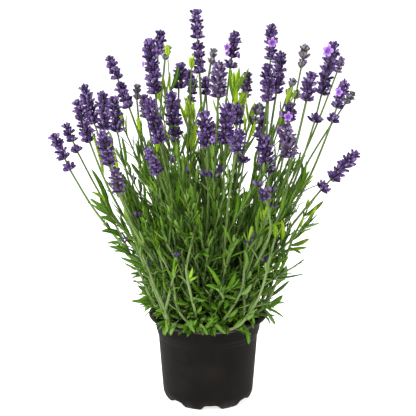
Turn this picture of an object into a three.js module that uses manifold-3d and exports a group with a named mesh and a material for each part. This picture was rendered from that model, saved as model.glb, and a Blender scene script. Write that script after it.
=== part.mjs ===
// A lavender plant in a thin black nursery pot: the pot, its soil, leafy clumps and flower spikes.
// Millimetres, +Z up. The origin is the middle of the pot's underside, and the viewer stands at -Y.

import * as THREE from 'three';
import { mergeVertices } from 'three/addons/utils/BufferGeometryUtils.js';
import Module from 'manifold-3d';

const wasm = await Module();
wasm.setup();

// Points nearer than this are one point
const WELD = 1e-4;

// Pot
const LIP_RADIUS = 65;
const LIP_DROP = 3.4;
const POT_HEIGHT = 97;
const MOUTH_RADIUS = 57.5;
const BAND_RADIUS = 55.6;
const BAND_LOW = 74;
const BAND_HIGH = 78.5;
const BAND_STEP = 1.1;
const FOOT_RADIUS = 45;
const FOOT_SIDE_RADIUS = 49.8;
const FOOT_CORNER = 6;
const WALL = 1.3;
const POT_SIDES = 24;
const NOTCHES = 7;
const NOTCH_TURN = THREE.MathUtils.degToRad(3.4);
const NOTCH_WIDTH = 17;
const NOTCH_DEPTH = 7;
const NOTCH_HEIGHT = 4.6;
const DRAIN_RADIUS = 2.6;
const DRAIN_INSET = 1.5;

// Soil
const GAP = 0.3;
const SOIL_TOP = 87;
const SOIL_MOUND = 1.5;
const HOLE_DEPTH = 16;

// Stems: the woody feet of the clumps stand in the soil, one in the middle and a ring round it
const CROWN_TOP = SOIL_TOP + 9;
const WOODY_TOP = SOIL_TOP + 5;
const FAN_CENTRE = 60;
const WOODY_RADIUS = 1.3;
const WOODY_SIDES = 8;
const RING_RADIUS = 28;
const RING_CLUMPS = 7;
const MIDDLE_CLUMP = [0, 2];
const ROOT_SPREAD = 0.24;
const FOOT_FILL = 0.7;
const SHOOT_TURN = 0.86;
const STEM_RADIUS = 1.05;
const STEM_STEPS = 4;
const SHOOT_STEPS = 3;

// Spikes: bud points in a whorl, and sizes as parts of the reach and of a whorl's height
const BUDS = 4;
const NECK = 0.3;
const HOLLOW = 0.45;
const TOP_WHORL = 0.85;
const HOLLOW_RISE = 0.42;
const TIP_RISE = 0.78;

// Leaves: sizes, the spacing of the pairs, and how far a leaf leans out of its stem
const LEAF_LENGTH = 42;
const LEAF_WIDTH = 5;
const LEAF_THICKNESS = 1.1;
const LEAF_TRIES = 4;
const TRY_TURN = 1.6;
const PAIR_STRETCH = 1.08;
const FIRST_VARY = 8;
const SIZE_VARY = 0.15;
const TURN_VARY = 0.3;
const SPREAD_VARY = 0.25;
const BEND_VARY = 0.4;
const BEND_UP = 0.4;
const SOIL_ROOM = 2;
const LIP_ROOM = 3;
const STEM_LEAVES = { from: 10, to: 0.42, step: 30, spread: [38, 38], size: [1, 0.7] };
const SHOOT_LEAVES = { from: 4, to: 1, step: 21, spread: [60, 22], size: [1.08, 0.7] };
const LEAF_CHECKS = [0.3, 0.45, 0.6, 0.75, 0.9, 1];
const SEED = 3;

// The stems are bent clear of each other at levels of this spacing, mostly in depth
const LEVEL_STEP = 12;
const BEND_ROUNDS = 240;
const SIDE_SHARE = 0.2;
const DEPTH_SHARE = 0.5;
const CLEARANCE = 0.9;

const MATERIALS = {
  pot: material('black pot plastic', 0x262422, 0.55),
  soil: material('potting soil', 0x2c2119, 1.0),
  leaf: material('lavender green', 0x55782a, 0.7),
  violet: material('violet calyx', 0x4a3478, 0.85),
  mauve: material('mauve calyx', 0x6f5a86, 0.85),
  bud: material('grey-green bud', 0x74806a, 0.85),
};

// The flower spikes: place of the tip, sideways place and height of the spike's foot, number of whorls,
// reach of the buds, colour, and [whorls below the gap, gap] where a spike is interrupted.
const SPIKES = [
  // left side
  { tip: [-162, -10, 296], foot: [-145, 256], whorls: 5, reach: 7.0, look: 'violet', gap: [1, 6] },
  { tip: [-155, 25, 303], foot: [-141, 270], whorls: 4, reach: 6.5, look: 'violet', gap: [1, 5] },
  { tip: [-109, 55, 372], foot: [-86, 315], whorls: 8, reach: 7.0, look: 'violet', gap: [4, 5] },
  { tip: [-135, 38, 342], foot: [-123, 299], whorls: 6, reach: 8.0, look: 'violet' },
  { tip: [-135, -18, 333], foot: [-123, 287], whorls: 6, reach: 8.0, look: 'violet' },
  { tip: [-105, -52, 345], foot: [-104, 305], whorls: 5, reach: 8.0, look: 'violet' },
  { tip: [-100, 8, 333], foot: [-96, 294], whorls: 5, reach: 8.0, look: 'violet' },
  { tip: [-102, -85, 310], foot: [-97, 274], whorls: 5, reach: 8.0, look: 'violet' },
  { tip: [-88, -112, 279], foot: [-85, 253], whorls: 4, reach: 7.5, look: 'mauve' },
  { tip: [-80, 82, 339], foot: [-80, 320], whorls: 3, reach: 4.5, look: 'bud' },
  { tip: [-60, -18, 393], foot: [-54, 337], whorls: 8, reach: 8.3, look: 'violet' },
  { tip: [-51, 62, 399], foot: [-55, 371], whorls: 4, reach: 7.0, look: 'violet' },
  { tip: [-42, 32, 384], foot: [-46, 368], whorls: 3, reach: 4.0, look: 'bud' },
  { tip: [-28, 18, 366], foot: [-31, 339], whorls: 4, reach: 7.5, look: 'violet', gap: [1, 3] },
  { tip: [-22, 78, 355], foot: [-21, 336], whorls: 3, reach: 6.5, look: 'violet' },
  { tip: [-15, 45, 348], foot: [-19, 322], whorls: 4, reach: 6.0, look: 'mauve', gap: [1, 3] },
  { tip: [-70, 42, 330], foot: [-66, 305], whorls: 4, reach: 7.5, look: 'mauve' },
  { tip: [-58, -62, 338], foot: [-48, 292], whorls: 6, reach: 8.5, look: 'violet' },
  { tip: [-37, -42, 344], foot: [-33, 296], whorls: 6, reach: 8.0, look: 'violet', gap: [1, 4] },
  { tip: [-59, -100, 298], foot: [-48, 268], whorls: 4, reach: 6.5, look: 'violet' },
  // middle
  { tip: [-13, 25, 423], foot: [-9, 355], whorls: 8, reach: 7.2, look: 'violet', gap: [4, 4] },
  { tip: [8, 98, 378], foot: [3, 359], whorls: 3, reach: 4.5, look: 'bud' },
  { tip: [11, -48, 372], foot: [10, 336], whorls: 5, reach: 9.0, look: 'mauve' },
  { tip: [30, 52, 399], foot: [24, 358], whorls: 5, reach: 7.5, look: 'violet', gap: [1, 4] },
  { tip: [-4, 58, 350], foot: [-2, 328], whorls: 3, reach: 6.5, look: 'violet' },
  { tip: [45, 72, 353], foot: [40, 324], whorls: 4, reach: 7.0, look: 'mauve' },
  { tip: [19, -78, 334], foot: [17, 294], whorls: 6, reach: 8.8, look: 'violet' },
  { tip: [31, -12, 329], foot: [30, 305], whorls: 3, reach: 7.0, look: 'violet' },
  { tip: [31, -103, 315], foot: [27, 291], whorls: 3, reach: 7.5, look: 'violet' },
  { tip: [-4, -88, 328], foot: [-1, 292], whorls: 5, reach: 8.8, look: 'violet' },
  { tip: [37, -52, 280], foot: [36, 272], whorls: 1, reach: 8.0, look: 'violet' },
  { tip: [55, 2, 326], foot: [47, 302], whorls: 3, reach: 6.0, look: 'bud', gap: [1, 4] },
  // right side
  { tip: [67, 22, 408], foot: [66, 369], whorls: 5, reach: 7.0, look: 'violet' },
  { tip: [59, -32, 370], foot: [61, 331], whorls: 5, reach: 8.0, look: 'violet' },
  { tip: [79, 48, 377], foot: [74, 331], whorls: 6, reach: 8.0, look: 'violet' },
  { tip: [104, 30, 387], foot: [93, 327], whorls: 4, reach: 5.5, look: 'bud', gap: [1, 24] },
  { tip: [97, 82, 345], foot: [89, 325], whorls: 3, reach: 4.5, look: 'bud', gap: [1, 4] },
  { tip: [130, -8, 391], foot: [111, 306], whorls: 8, reach: 8.2, look: 'violet', gap: [1, 22] },
  { tip: [104, -28, 362], foot: [100, 331], whorls: 4, reach: 7.8, look: 'violet' },
  { tip: [146, 48, 372], foot: [140, 354], whorls: 3, reach: 5.0, look: 'mauve' },
  { tip: [139, -28, 353], foot: [127, 309], whorls: 5, reach: 7.0, look: 'violet', gap: [1, 8] },
  { tip: [155, 15, 337], foot: [145, 323], whorls: 3, reach: 4.0, look: 'bud' },
  { tip: [152, -42, 283], foot: [116, 240], whorls: 6, reach: 8.0, look: 'violet', gap: [1, 7] },
  { tip: [53, -82, 305], foot: [60, 266], whorls: 5, reach: 8.5, look: 'violet' },
  { tip: [85, -14, 328], foot: [84, 308], whorls: 3, reach: 7.5, look: 'violet' },
  { tip: [76, -68, 314], foot: [81, 279], whorls: 5, reach: 8.8, look: 'mauve' },
  { tip: [50, -106, 258], foot: [56, 246], whorls: 2, reach: 6.0, look: 'violet' },
  // low ones round the back
  { tip: [-62, 116, 300], foot: [-57, 270], whorls: 4, reach: 7.5, look: 'violet' },
  { tip: [6, 132, 288], foot: [5, 258], whorls: 4, reach: 7.5, look: 'mauve' },
  { tip: [66, 120, 302], foot: [60, 272], whorls: 4, reach: 7.5, look: 'violet' },
];

// The tips of the leafy shoots that carry no flower
const SHOOTS = [
  // tall ones among the spikes
  [27, 10, 338],
  [-44, -8, 330],
  [84, 20, 318],
  [-92, 30, 296],
  [8, -60, 286],
  [-24, 40, 306],
  [44, 30, 300],
  // the sides, as wide as the leaves spread in the photograph
  [-106, -26, 216],
  [-98, 30, 236],
  [-84, -46, 178],
  [-60, -62, 128],
  [106, -34, 206],
  [104, 30, 232],
  [90, -54, 166],
  [64, -66, 128],
  // the front
  [-44, -82, 204],
  [-16, -90, 232],
  [26, -92, 200],
  [60, -80, 222],
  [2, -72, 140],
  [-30, -44, 256],
  [50, -40, 250],
  // the back
  [-62, 84, 220],
  [-18, 98, 240],
  [32, 96, 210],
  [74, 78, 228],
  [0, 60, 270],
];

function material(name, color, roughness) {
  return new THREE.MeshStandardMaterial({ name, color, roughness, metalness: 0 });
}

// A factor close to 1
const vary = (random, part) => 1 + part * (2 * random() - 1);

// Repeatable random numbers from 0 to 1
function makeRandom(seed) {
  let state = seed >>> 0;
  return () => {
    state = (Math.imul(state, 1664525) + 1013904223) >>> 0;
    return state / 4294967296;
  };
}

// A three.js geometry as a solid that can be joined and cut
function solid(geometry) {
  const bare = geometry.index ? geometry.clone() : geometry;
  bare.deleteAttribute('normal');
  bare.deleteAttribute('uv');
  const merged = mergeVertices(bare, WELD);
  return new wasm.Manifold(new wasm.Mesh({
    numProp: 3,
    vertProperties: new Float32Array(merged.attributes.position.array),
    triVerts: new Uint32Array(merged.index.array),
  }));
}

// A joined or cut solid as a three.js geometry
function geometryOf(body) {
  const mesh = body.getMesh();
  const geometry = new THREE.BufferGeometry();
  geometry.setAttribute('position', new THREE.BufferAttribute(mesh.vertProperties, mesh.numProp));
  geometry.setIndex(new THREE.BufferAttribute(mesh.triVerts, 1));
  return geometry;
}

// A closed mesh from its points and triangles
function meshGeometry(points, triangles) {
  const geometry = new THREE.BufferGeometry();
  geometry.setAttribute('position', new THREE.Float32BufferAttribute(points.flatMap((p) => p.toArray()), 3));
  geometry.setIndex(triangles.flat());
  return geometry;
}

// A solid turned about the pot's axis from [radius, height] points
function turned(profile) {
  const points = profile.map(([radius, height]) => new THREE.Vector2(radius, height));
  return solid(new THREE.LatheGeometry(points, POT_SIDES).rotateX(Math.PI / 2));
}

// An upright prism from its bottom to its top, with its radius at each
function post(x, y, [bottom, top], [bottomRadius, topRadius], sides) {
  const prism = new THREE.CylinderGeometry(topRadius, bottomRadius, top - bottom, sides);
  prism.rotateX(Math.PI / 2);
  prism.translate(x, y, (top + bottom) / 2);
  return solid(prism);
}

// A box that points away from the pot's axis
function block(turn, [inner, outer], width, [bottom, top]) {
  const box = new THREE.BoxGeometry(outer - inner, width, top - bottom);
  box.translate((inner + outer) / 2, 0, (top + bottom) / 2);
  box.rotateZ(turn);
  return solid(box);
}

// Pot: a thin shell with a curled lip, a stepped band under it and drain notches round the foot
function makePot() {
  let pot = turned([
    [0, 0],
    [FOOT_RADIUS, 0],
    [FOOT_SIDE_RADIUS, FOOT_CORNER],
    [BAND_RADIUS - BAND_STEP, BAND_LOW - 1],
    [BAND_RADIUS, BAND_LOW],
    [BAND_RADIUS + 0.3, BAND_HIGH],
    [MOUTH_RADIUS - 0.4, BAND_HIGH + 1],
    [MOUTH_RADIUS, POT_HEIGHT - 5],
    [LIP_RADIUS - 4, POT_HEIGHT - LIP_DROP + 1],
    [LIP_RADIUS - 1, POT_HEIGHT - LIP_DROP],
    [LIP_RADIUS, POT_HEIGHT - LIP_DROP / 2],
    [LIP_RADIUS - 3, POT_HEIGHT],
    [MOUTH_RADIUS - WALL, POT_HEIGHT - 3],
    [BAND_RADIUS - WALL, BAND_LOW],
    [FOOT_SIDE_RADIUS - WALL, FOOT_CORNER + 0.6],
    [FOOT_RADIUS - 0.4, WALL],
    [0, WALL],
  ]);
  const foot = turned([[0, 0], [FOOT_RADIUS, 0], [FOOT_SIDE_RADIUS, FOOT_CORNER], [0, FOOT_CORNER]]);
  const inner = FOOT_RADIUS - NOTCH_DEPTH;
  const outer = FOOT_SIDE_RADIUS + 1;
  for (let i = 0; i < NOTCHES; i++) {
    const turn = -Math.PI / 2 + NOTCH_TURN + (i * 2 * Math.PI) / NOTCHES;
    const walls = block(turn, [inner - WALL, outer], NOTCH_WIDTH + 2 * WALL, [WALL / 2, NOTCH_HEIGHT + WALL]);
    const notch = block(turn, [inner, outer], NOTCH_WIDTH, [-1, NOTCH_HEIGHT]);
    const drainX = Math.cos(turn) * (FOOT_RADIUS - DRAIN_INSET);
    const drainY = Math.sin(turn) * (FOOT_RADIUS - DRAIN_INSET);
    const drain = post(drainX, drainY, [0, NOTCH_HEIGHT + 2 * WALL], [DRAIN_RADIUS, DRAIN_RADIUS], 6);
    pot = pot.add(foot.intersect(walls)).subtract(notch).subtract(drain);
  }
  return pot;
}

// Soil: it fills the pot, with a low mound and a hole for each clump
function makeSoil(clumps) {
  const bandRadius = BAND_RADIUS - WALL - GAP;
  let soil = turned([
    [0, NOTCH_HEIGHT + WALL + GAP],
    [FOOT_SIDE_RADIUS - WALL - 3 * GAP, NOTCH_HEIGHT + WALL + GAP],
    [bandRadius, BAND_LOW],
    [bandRadius + 1, SOIL_TOP - 1],
    [bandRadius * 0.7, SOIL_TOP + SOIL_MOUND / 2],
    [0, SOIL_TOP + SOIL_MOUND],
  ]);
  for (const { place: [x, y], radius } of clumps) {
    const width = radius + 2 * GAP;
    soil = soil.subtract(post(x, y, [SOIL_TOP - HOLE_DEPTH, WOODY_TOP], [width, width], WOODY_SIDES));
  }
  return soil;
}

// Where the clumps stand: one in the middle and a ring round it
function clumpPlaces() {
  const places = [MIDDLE_CLUMP];
  for (let i = 0; i < RING_CLUMPS; i++) {
    const turn = -Math.PI / 2 + ((i + 0.5) * 2 * Math.PI) / RING_CLUMPS;
    places.push([Math.cos(turn) * RING_RADIUS, Math.sin(turn) * RING_RADIUS]);
  }
  return places;
}

// The clump whose foot is nearest to the place that a stem's fan line starts from
function nearestClump(tip, clumps) {
  const distance = ({ place: [x, y] }) => Math.hypot(x - tip[0] * ROOT_SPREAD, y - tip[1] * ROOT_SPREAD);
  return clumps.reduce((best, clump) => (distance(clump) < distance(best) ? clump : best));
}

// Value of a smooth curve between two heights with a slope at each end
function hermite(t, from, to, slopeFrom, slopeTo, rise) {
  const t2 = t * t;
  const t3 = t2 * t;
  return (2 * t3 - 3 * t2 + 1) * from + (t3 - 2 * t2 + t) * slopeFrom * rise
    + (3 * t2 - 2 * t3) * to + (t3 - t2) * slopeTo * rise;
}

// The planned sideways place of a stem at each level: a fan line that turns into the spike's own lean
function planStem(stem) {
  const [rootX, rootY] = stem.root;
  const rise = stem.footZ - CROWN_TOP;
  const leanX = (stem.tip[0] - stem.footX) / (stem.tip[2] - stem.footZ);
  const leanY = (stem.tip[1] - stem.footY) / (stem.tip[2] - stem.footZ);
  const levels = [];
  const count = Math.ceil((stem.tip[2] - CROWN_TOP) / LEVEL_STEP) + 1;
  for (let k = 0; k < count; k++) {
    const z = CROWN_TOP + k * LEVEL_STEP;
    if (z <= stem.footZ) {
      const t = (z - CROWN_TOP) / rise;
      levels.push([
        hermite(t, rootX, stem.footX, (stem.footX - rootX) / rise, leanX, rise),
        hermite(t, rootY, stem.footY, (stem.footY - rootY) / rise, leanY, rise),
      ]);
    } else {
      levels.push([stem.footX + leanX * (z - stem.footZ), stem.footY + leanY * (z - stem.footZ)]);
    }
  }
  stem.plan = levels;
  stem.slant = Math.hypot(leanX, leanY, 1);
}

// Room that a stem needs at a level: the spike's buds, or the bare stem
function roomAt(stem, level) {
  const z = CROWN_TOP + level * LEVEL_STEP;
  const inSpike = stem.spike && z > stem.footZ - LEVEL_STEP / 2;
  return (inSpike ? stem.spike.reach : STEM_RADIUS) * stem.slant;
}

// Bend the stems clear of each other, mostly in depth so that the view from the front is kept
function bendClear(stems) {
  for (const stem of stems) stem.line = stem.plan.map((p) => [...p]);
  for (let round = 0; round < BEND_ROUNDS; round++) {
    const pushes = stems.map((stem) => stem.line.map(() => [0, 0]));
    for (let i = 0; i < stems.length; i++) {
      for (let j = i + 1; j < stems.length; j++) {
        const shared = Math.min(stems[i].line.length, stems[j].line.length);
        for (let k = 0; k < shared; k++) pushApart(stems[i], stems[j], k, pushes[i][k], pushes[j][k]);
      }
    }
    stems.forEach((stem, i) => settle(stem, pushes[i]));
  }
}

function pushApart(one, other, level, pushOne, pushOther) {
  const dx = one.line[level][0] - other.line[level][0];
  const dy = one.line[level][1] - other.line[level][1] + 1e-3;
  const distance = Math.hypot(dx, dy);
  const spare = level > 0 ? CLEARANCE : 0;
  const short = roomAt(one, level) + roomAt(other, level) + spare - distance;
  if (short <= 0) return;
  const x = (SIDE_SHARE * short * dx) / distance;
  const y = (DEPTH_SHARE * short * dy) / distance;
  pushOne[0] += x;
  pushOne[1] += y;
  pushOther[0] -= x;
  pushOther[1] -= y;
}

// Take up the pushes, then even out how far the stem has moved from its plan
function settle(stem, pushes) {
  const last = stem.line.length - 1;
  const moved = stem.line.map((p, k) => [0, 1].map((axis) => p[axis] + pushes[k][axis] - stem.plan[k][axis]));
  for (let k = 0; k <= last; k++) {
    for (const axis of [0, 1]) {
      const around = moved[Math.max(k - 1, 0)][axis] + moved[Math.min(k + 1, last)][axis];
      stem.line[k][axis] = stem.plan[k][axis] + 0.5 * moved[k][axis] + 0.25 * around;
    }
  }
  const { place, radius } = stem.clump;
  const out = Math.hypot(stem.line[0][0] - place[0], stem.line[0][1] - place[1]);
  const limit = radius - 1.3 * STEM_RADIUS;
  if (out <= limit) return;
  stem.line[0] = [0, 1].map((axis) => place[axis] + ((stem.line[0][axis] - place[axis]) * limit) / out);
}

// A point of a bent line at any height
function lineAt(stem, z) {
  const place = (z - CROWN_TOP) / LEVEL_STEP;
  const level = Math.min(Math.max(Math.floor(place), 0), stem.line.length - 2);
  const part = place - level;
  const low = stem.line[level];
  const high = stem.line[level + 1];
  return new THREE.Vector3(low[0] + (high[0] - low[0]) * part, low[1] + (high[1] - low[1]) * part, z);
}

// The woody foot is as wide as its stems need, and they leave it in the order of their tips
function spreadRoots(clump) {
  const { place, stems } = clump;
  clump.radius = WOODY_RADIUS * (1 + Math.sqrt(stems.length));
  const middle = [0, 1].map((axis) => stems.reduce((sum, stem) => sum + stem.tip[axis], 0) / stems.length);
  const reach = Math.max(...stems.map(({ tip }) => Math.hypot(tip[0] - middle[0], tip[1] - middle[1])));
  const scale = (FOOT_FILL * clump.radius) / reach;
  for (const stem of stems) {
    stem.root = [0, 1].map((axis) => place[axis] + (stem.tip[axis] - middle[axis]) * scale);
  }
}

// All stems, flowering and leafy, from their clump to their tip
function makeStems(clumps) {
  const stems = [];
  for (const spike of SPIKES) {
    const share = (spike.foot[1] - FAN_CENTRE) / (spike.tip[2] - FAN_CENTRE);
    stems.push({
      tip: spike.tip,
      footX: spike.foot[0],
      footY: spike.tip[1] * share,
      footZ: spike.foot[1],
      spike,
    });
  }
  for (const tip of SHOOTS) {
    const footZ = CROWN_TOP + (tip[2] - CROWN_TOP) * SHOOT_TURN;
    stems.push({ tip, footX: tip[0] * SHOOT_TURN, footY: tip[1] * SHOOT_TURN, footZ });
  }
  for (const stem of stems) {
    stem.clump = nearestClump(stem.tip, clumps);
    stem.clump.stems.push(stem);
  }
  clumps.forEach(spreadRoots);
  stems.forEach(planStem);
  bendClear(stems);
  for (const stem of stems) {
    const steps = stem.spike ? STEM_STEPS : SHOOT_STEPS;
    stem.top = stem.spike ? stem.footZ - GAP : stem.tip[2];
    stem.corners = [new THREE.Vector3(...stem.line[0], SOIL_TOP + 2)];
    for (let k = 0; k <= steps; k++) {
      stem.corners.push(lineAt(stem, CROWN_TOP + ((stem.top - CROWN_TOP) * k) / steps));
    }
  }
  return stems;
}

// A path that goes straight from corner to corner
class CornerPath extends THREE.Curve {
  constructor(corners) {
    super();
    this.corners = corners;
  }

  getPoint(t) {
    const place = Math.min(Math.max(t, 0), 1) * (this.corners.length - 1);
    const corner = Math.min(Math.floor(place), this.corners.length - 2);
    return this.corners[corner].clone().lerp(this.corners[corner + 1], place - corner);
  }

  getPointAt(t) {
    return this.getPoint(t);
  }

  getTangentAt(t) {
    return this.getTangent(t);
  }
}

// Stem: a square tube from inside the woody foot to just under its spike, or to the shoot's tip
function stemSolid(stem) {
  const half = STEM_RADIUS * 0.8;
  const section = new THREE.Shape([
    new THREE.Vector2(-half, -half),
    new THREE.Vector2(half, -half),
    new THREE.Vector2(half, half),
    new THREE.Vector2(-half, half),
  ]);
  const extrudePath = new CornerPath(stem.corners);
  const steps = stem.corners.length - 1;
  return solid(new THREE.ExtrudeGeometry(section, { steps, bevelEnabled: false, extrudePath }));
}

// A point of the stem's middle line at any height
function onStem(stem, z) {
  const corners = stem.corners;
  const above = Math.max(corners.findIndex((corner) => corner.z >= z), 1);
  const low = corners[above - 1];
  const high = corners[above];
  return low.clone().lerp(high, (z - low.z) / (high.z - low.z));
}

// Spike: whorls of buds that stand out and up from the stem's end
function spikeGeometry(stem) {
  const { whorls, reach, gap: [below, gap] = [0, 0] } = stem.spike;
  const start = lineAt(stem, stem.footZ);
  const end = lineAt(stem, stem.tip[2]);
  const axis = end.clone().sub(start);
  const pitch = (axis.length() - gap) / whorls;
  axis.normalize();
  const side = new THREE.Vector3(0, 1, 0).cross(axis).normalize();
  const front = axis.clone().cross(side);
  const points = [];
  const triangles = [];

  // a ring of points round the spike's middle line: returns the number of its first point
  function ring(height, count, turn, radiusOf, riseOf = () => 0) {
    const first = points.length;
    for (let i = 0; i < count; i++) {
      const angle = turn + (i * 2 * Math.PI) / count;
      points.push(start.clone()
        .addScaledVector(axis, height + riseOf(i))
        .addScaledVector(side, Math.cos(angle) * radiusOf(i))
        .addScaledVector(front, Math.sin(angle) * radiusOf(i)));
    }
    return first;
  }

  // the lower half of a whorl: from its neck to a ring in which bud tips and hollows take turns
  function budRing(neck, height, size, turn) {
    const isTip = (i) => i % 2 === 0;
    const middle = ring(height, 2 * BUDS, turn,
      (i) => (isTip(i) ? size : size * HOLLOW), (i) => pitch * (isTip(i) ? TIP_RISE : HOLLOW_RISE));
    for (let i = 0; i < BUDS; i++) {
      const after = (i + 1) % BUDS;
      const tip = middle + 2 * i;
      triangles.push([neck + i, tip + 1, tip], [neck + i, neck + after, tip + 1]);
      triangles.push([neck + after, middle + 2 * after, tip + 1]);
    }
    return middle;
  }

  // its upper half: back in to the next neck, whose points stand over the hollows
  function closeWhorl(middle, height, turn, radius) {
    const next = ring(height + pitch, BUDS, turn + Math.PI / BUDS, () => radius);
    for (let i = 0; i < BUDS; i++) {
      const after = (i + 1) % BUDS;
      const tip = middle + 2 * i;
      const nextTip = middle + 2 * after;
      triangles.push([tip, tip + 1, next + i], [tip + 1, nextTip, next + i]);
      triangles.push([nextTip, next + after, next + i]);
    }
    return next;
  }

  // the bare stem between two whorls
  function bareStem(neck, height, turn) {
    const next = ring(height, BUDS, turn, () => STEM_RADIUS);
    for (let i = 0; i < BUDS; i++) {
      const after = (i + 1) % BUDS;
      triangles.push([neck + i, neck + after, next + after], [neck + i, next + after, next + i]);
    }
    return next;
  }

  let height = 0;
  let turn = 0;
  let neck = ring(height, BUDS, turn, () => STEM_RADIUS);
  for (let i = 1; i < BUDS - 1; i++) triangles.push([neck, neck + i + 1, neck + i]);
  for (let w = 1; w <= whorls; w++) {
    const middle = budRing(neck, height, w === whorls ? reach * TOP_WHORL : reach, turn);
    if (w === whorls) {
      const tip = points.push(end) - 1;
      for (let i = 0; i < 2 * BUDS; i++) triangles.push([middle + i, middle + ((i + 1) % (2 * BUDS)), tip]);
      break;
    }
    neck = closeWhorl(middle, height, turn, w === below ? STEM_RADIUS : reach * NECK);
    height += pitch;
    turn += Math.PI / BUDS;
    if (w === below) {
      height += gap;
      neck = bareStem(neck, height, turn);
    }
  }
  return meshGeometry(points, triangles);
}

// The places of the leaf pairs up a stem, each pair crossing the one below it
function leafNodes(stem, random) {
  const habit = stem.spike ? STEM_LEAVES : SHOOT_LEAVES;
  const top = CROWN_TOP + (stem.top - CROWN_TOP) * habit.to - 2;
  const nodes = [];
  let z = CROWN_TOP + habit.from + FIRST_VARY * random();
  let turn = random() * Math.PI;
  let { step } = habit;
  while (z < top) {
    nodes.push({ z, turn, up: (z - CROWN_TOP) / (top - CROWN_TOP), habit });
    z += step * vary(random, SIZE_VARY);
    step *= PAIR_STRETCH;
    turn += Math.PI / 2 + TURN_VARY * (random() - 0.5);
  }
  return nodes;
}

// A leaf's midrib: where it leaves the stem, its middle and its tip
function midrib(stem, { z, up, habit }, turn, random) {
  const root = onStem(stem, z);
  const along = root.clone().sub(onStem(stem, z - 2)).normalize();
  const side = new THREE.Vector3(0, 1, 0).cross(along).normalize();
  const front = along.clone().cross(side);
  const out = side.multiplyScalar(Math.cos(turn)).addScaledVector(front, Math.sin(turn));
  const mix = ([low, high]) => low + (high - low) * up;
  const spread = THREE.MathUtils.degToRad(mix(habit.spread)) + SPREAD_VARY * (random() - 0.5);
  const half = (LEAF_LENGTH / 2) * mix(habit.size) * vary(random, SIZE_VARY);
  const bend = BEND_VARY * (random() - BEND_UP);
  const step = (angle) => along.clone().multiplyScalar(Math.cos(angle) * half)
    .addScaledVector(out, Math.sin(angle) * half);
  const middle = root.clone().add(step(spread));
  const tip = middle.clone().add(step(spread + bend));
  return { stem, along, points: [root, middle, tip] };
}

function pointOfLeaf(leaf, part) {
  const [root, middle, tip] = leaf.points;
  if (part < 0.5) return root.clone().lerp(middle, part * 2);
  return middle.clone().lerp(tip, part * 2 - 1);
}

// Is a point outside the pot's lip and wall, and above the soil?
function clearOfPot(point) {
  const radius = Math.hypot(point.x, point.y);
  if (radius < MOUTH_RADIUS - LEAF_WIDTH) return point.z > SOIL_TOP + SOIL_MOUND + SOIL_ROOM;
  return point.z > POT_HEIGHT + LIP_ROOM;
}

// Is a leaf clear of every thick line piece that isn't its own stem's?
function isClear(leaf, pieces) {
  return LEAF_CHECKS.every((part) => {
    const point = pointOfLeaf(leaf, part);
    if (!clearOfPot(point)) return false;
    const room = (LEAF_WIDTH + CLEARANCE) / 2;
    return pieces.every((piece) => (
      piece.stem === leaf.stem || distanceTo(piece, point) > piece.radius + room
    ));
  });
}

function distanceTo(piece, point) {
  const line = new THREE.Line3(piece.from, piece.to);
  return line.closestPointToPoint(point, true, new THREE.Vector3()).distanceTo(point);
}

// Everything that leaves keep clear of: stems, spikes and the leaves placed before
function stemPieces(stems) {
  const pieces = [];
  for (const stem of stems) {
    stem.corners.slice(1).forEach((to, k) => {
      pieces.push({ stem, radius: STEM_RADIUS, from: stem.corners[k], to });
    });
    if (stem.spike) {
      const from = lineAt(stem, stem.footZ);
      const to = lineAt(stem, stem.tip[2]);
      pieces.push({ stem, radius: stem.spike.reach, from, to });
    }
  }
  return pieces;
}

function placeLeaves(stems) {
  const random = makeRandom(SEED);
  const pieces = stemPieces(stems);
  const leaves = [];
  for (const stem of stems) {
    for (const node of leafNodes(stem, random)) {
      for (const side of [0, Math.PI]) {
        let leaf = midrib(stem, node, node.turn + side, random);
        for (let tries = 0; tries < LEAF_TRIES && !isClear(leaf, pieces); tries++) {
          leaf = midrib(stem, node, node.turn + side + TRY_TURN * (random() - 0.5), random);
        }
        if (!isClear(leaf, pieces)) continue;
        leaves.push(leaf);
        const [root, middle, tip] = leaf.points;
        const base = root.clone().lerp(middle, 0.2);
        pieces.push({ stem, radius: LEAF_WIDTH / 2, from: base, to: middle });
        pieces.push({ stem, radius: LEAF_WIDTH / 2, from: middle, to: tip });
      }
    }
  }
  return leaves;
}

// Leaf: a narrow blade, flat above and keeled below, pointed at its tip and at its root inside the stem
function leafSolid(leaf) {
  const [root, middle, tip] = leaf.points;
  const across = middle.clone().sub(root).cross(leaf.along).normalize();
  const under = tip.clone().sub(root).cross(across).normalize();
  if (under.dot(leaf.along) > 0) under.negate();
  const left = middle.clone().addScaledVector(across, -LEAF_WIDTH / 2);
  const right = middle.clone().addScaledVector(across, LEAF_WIDTH / 2);
  const keel = middle.clone().addScaledVector(under, LEAF_THICKNESS);
  const triangles = [[0, 1, 2], [0, 2, 3], [0, 3, 1], [4, 2, 1], [4, 3, 2], [4, 1, 3]];
  const blade = solid(meshGeometry([root, left, right, keel, tip], triangles));
  return blade.volume() > 0 ? blade : solid(meshGeometry([root, right, left, keel, tip], triangles));
}

// Clump: a woody foot with its stems and their leaves, as one body
function makeClump(clump, leaves) {
  const [x, y] = clump.place;
  const bottom = SOIL_TOP - HOLE_DEPTH + GAP;
  const foot = post(x, y, [bottom, WOODY_TOP], [clump.radius + GAP, clump.radius], WOODY_SIDES);
  const stems = clump.stems.map(stemSolid);
  const blades = leaves.filter((leaf) => leaf.stem.clump === clump).map(leafSolid);
  return wasm.Manifold.union([foot, ...stems, ...blades]);
}

function addMesh(group, name, geometry, look) {
  const mesh = new THREE.Mesh(geometry, MATERIALS[look]);
  mesh.name = name;
  group.add(mesh);
}

const number = (index) => String(index + 1).padStart(2, '0');

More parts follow.
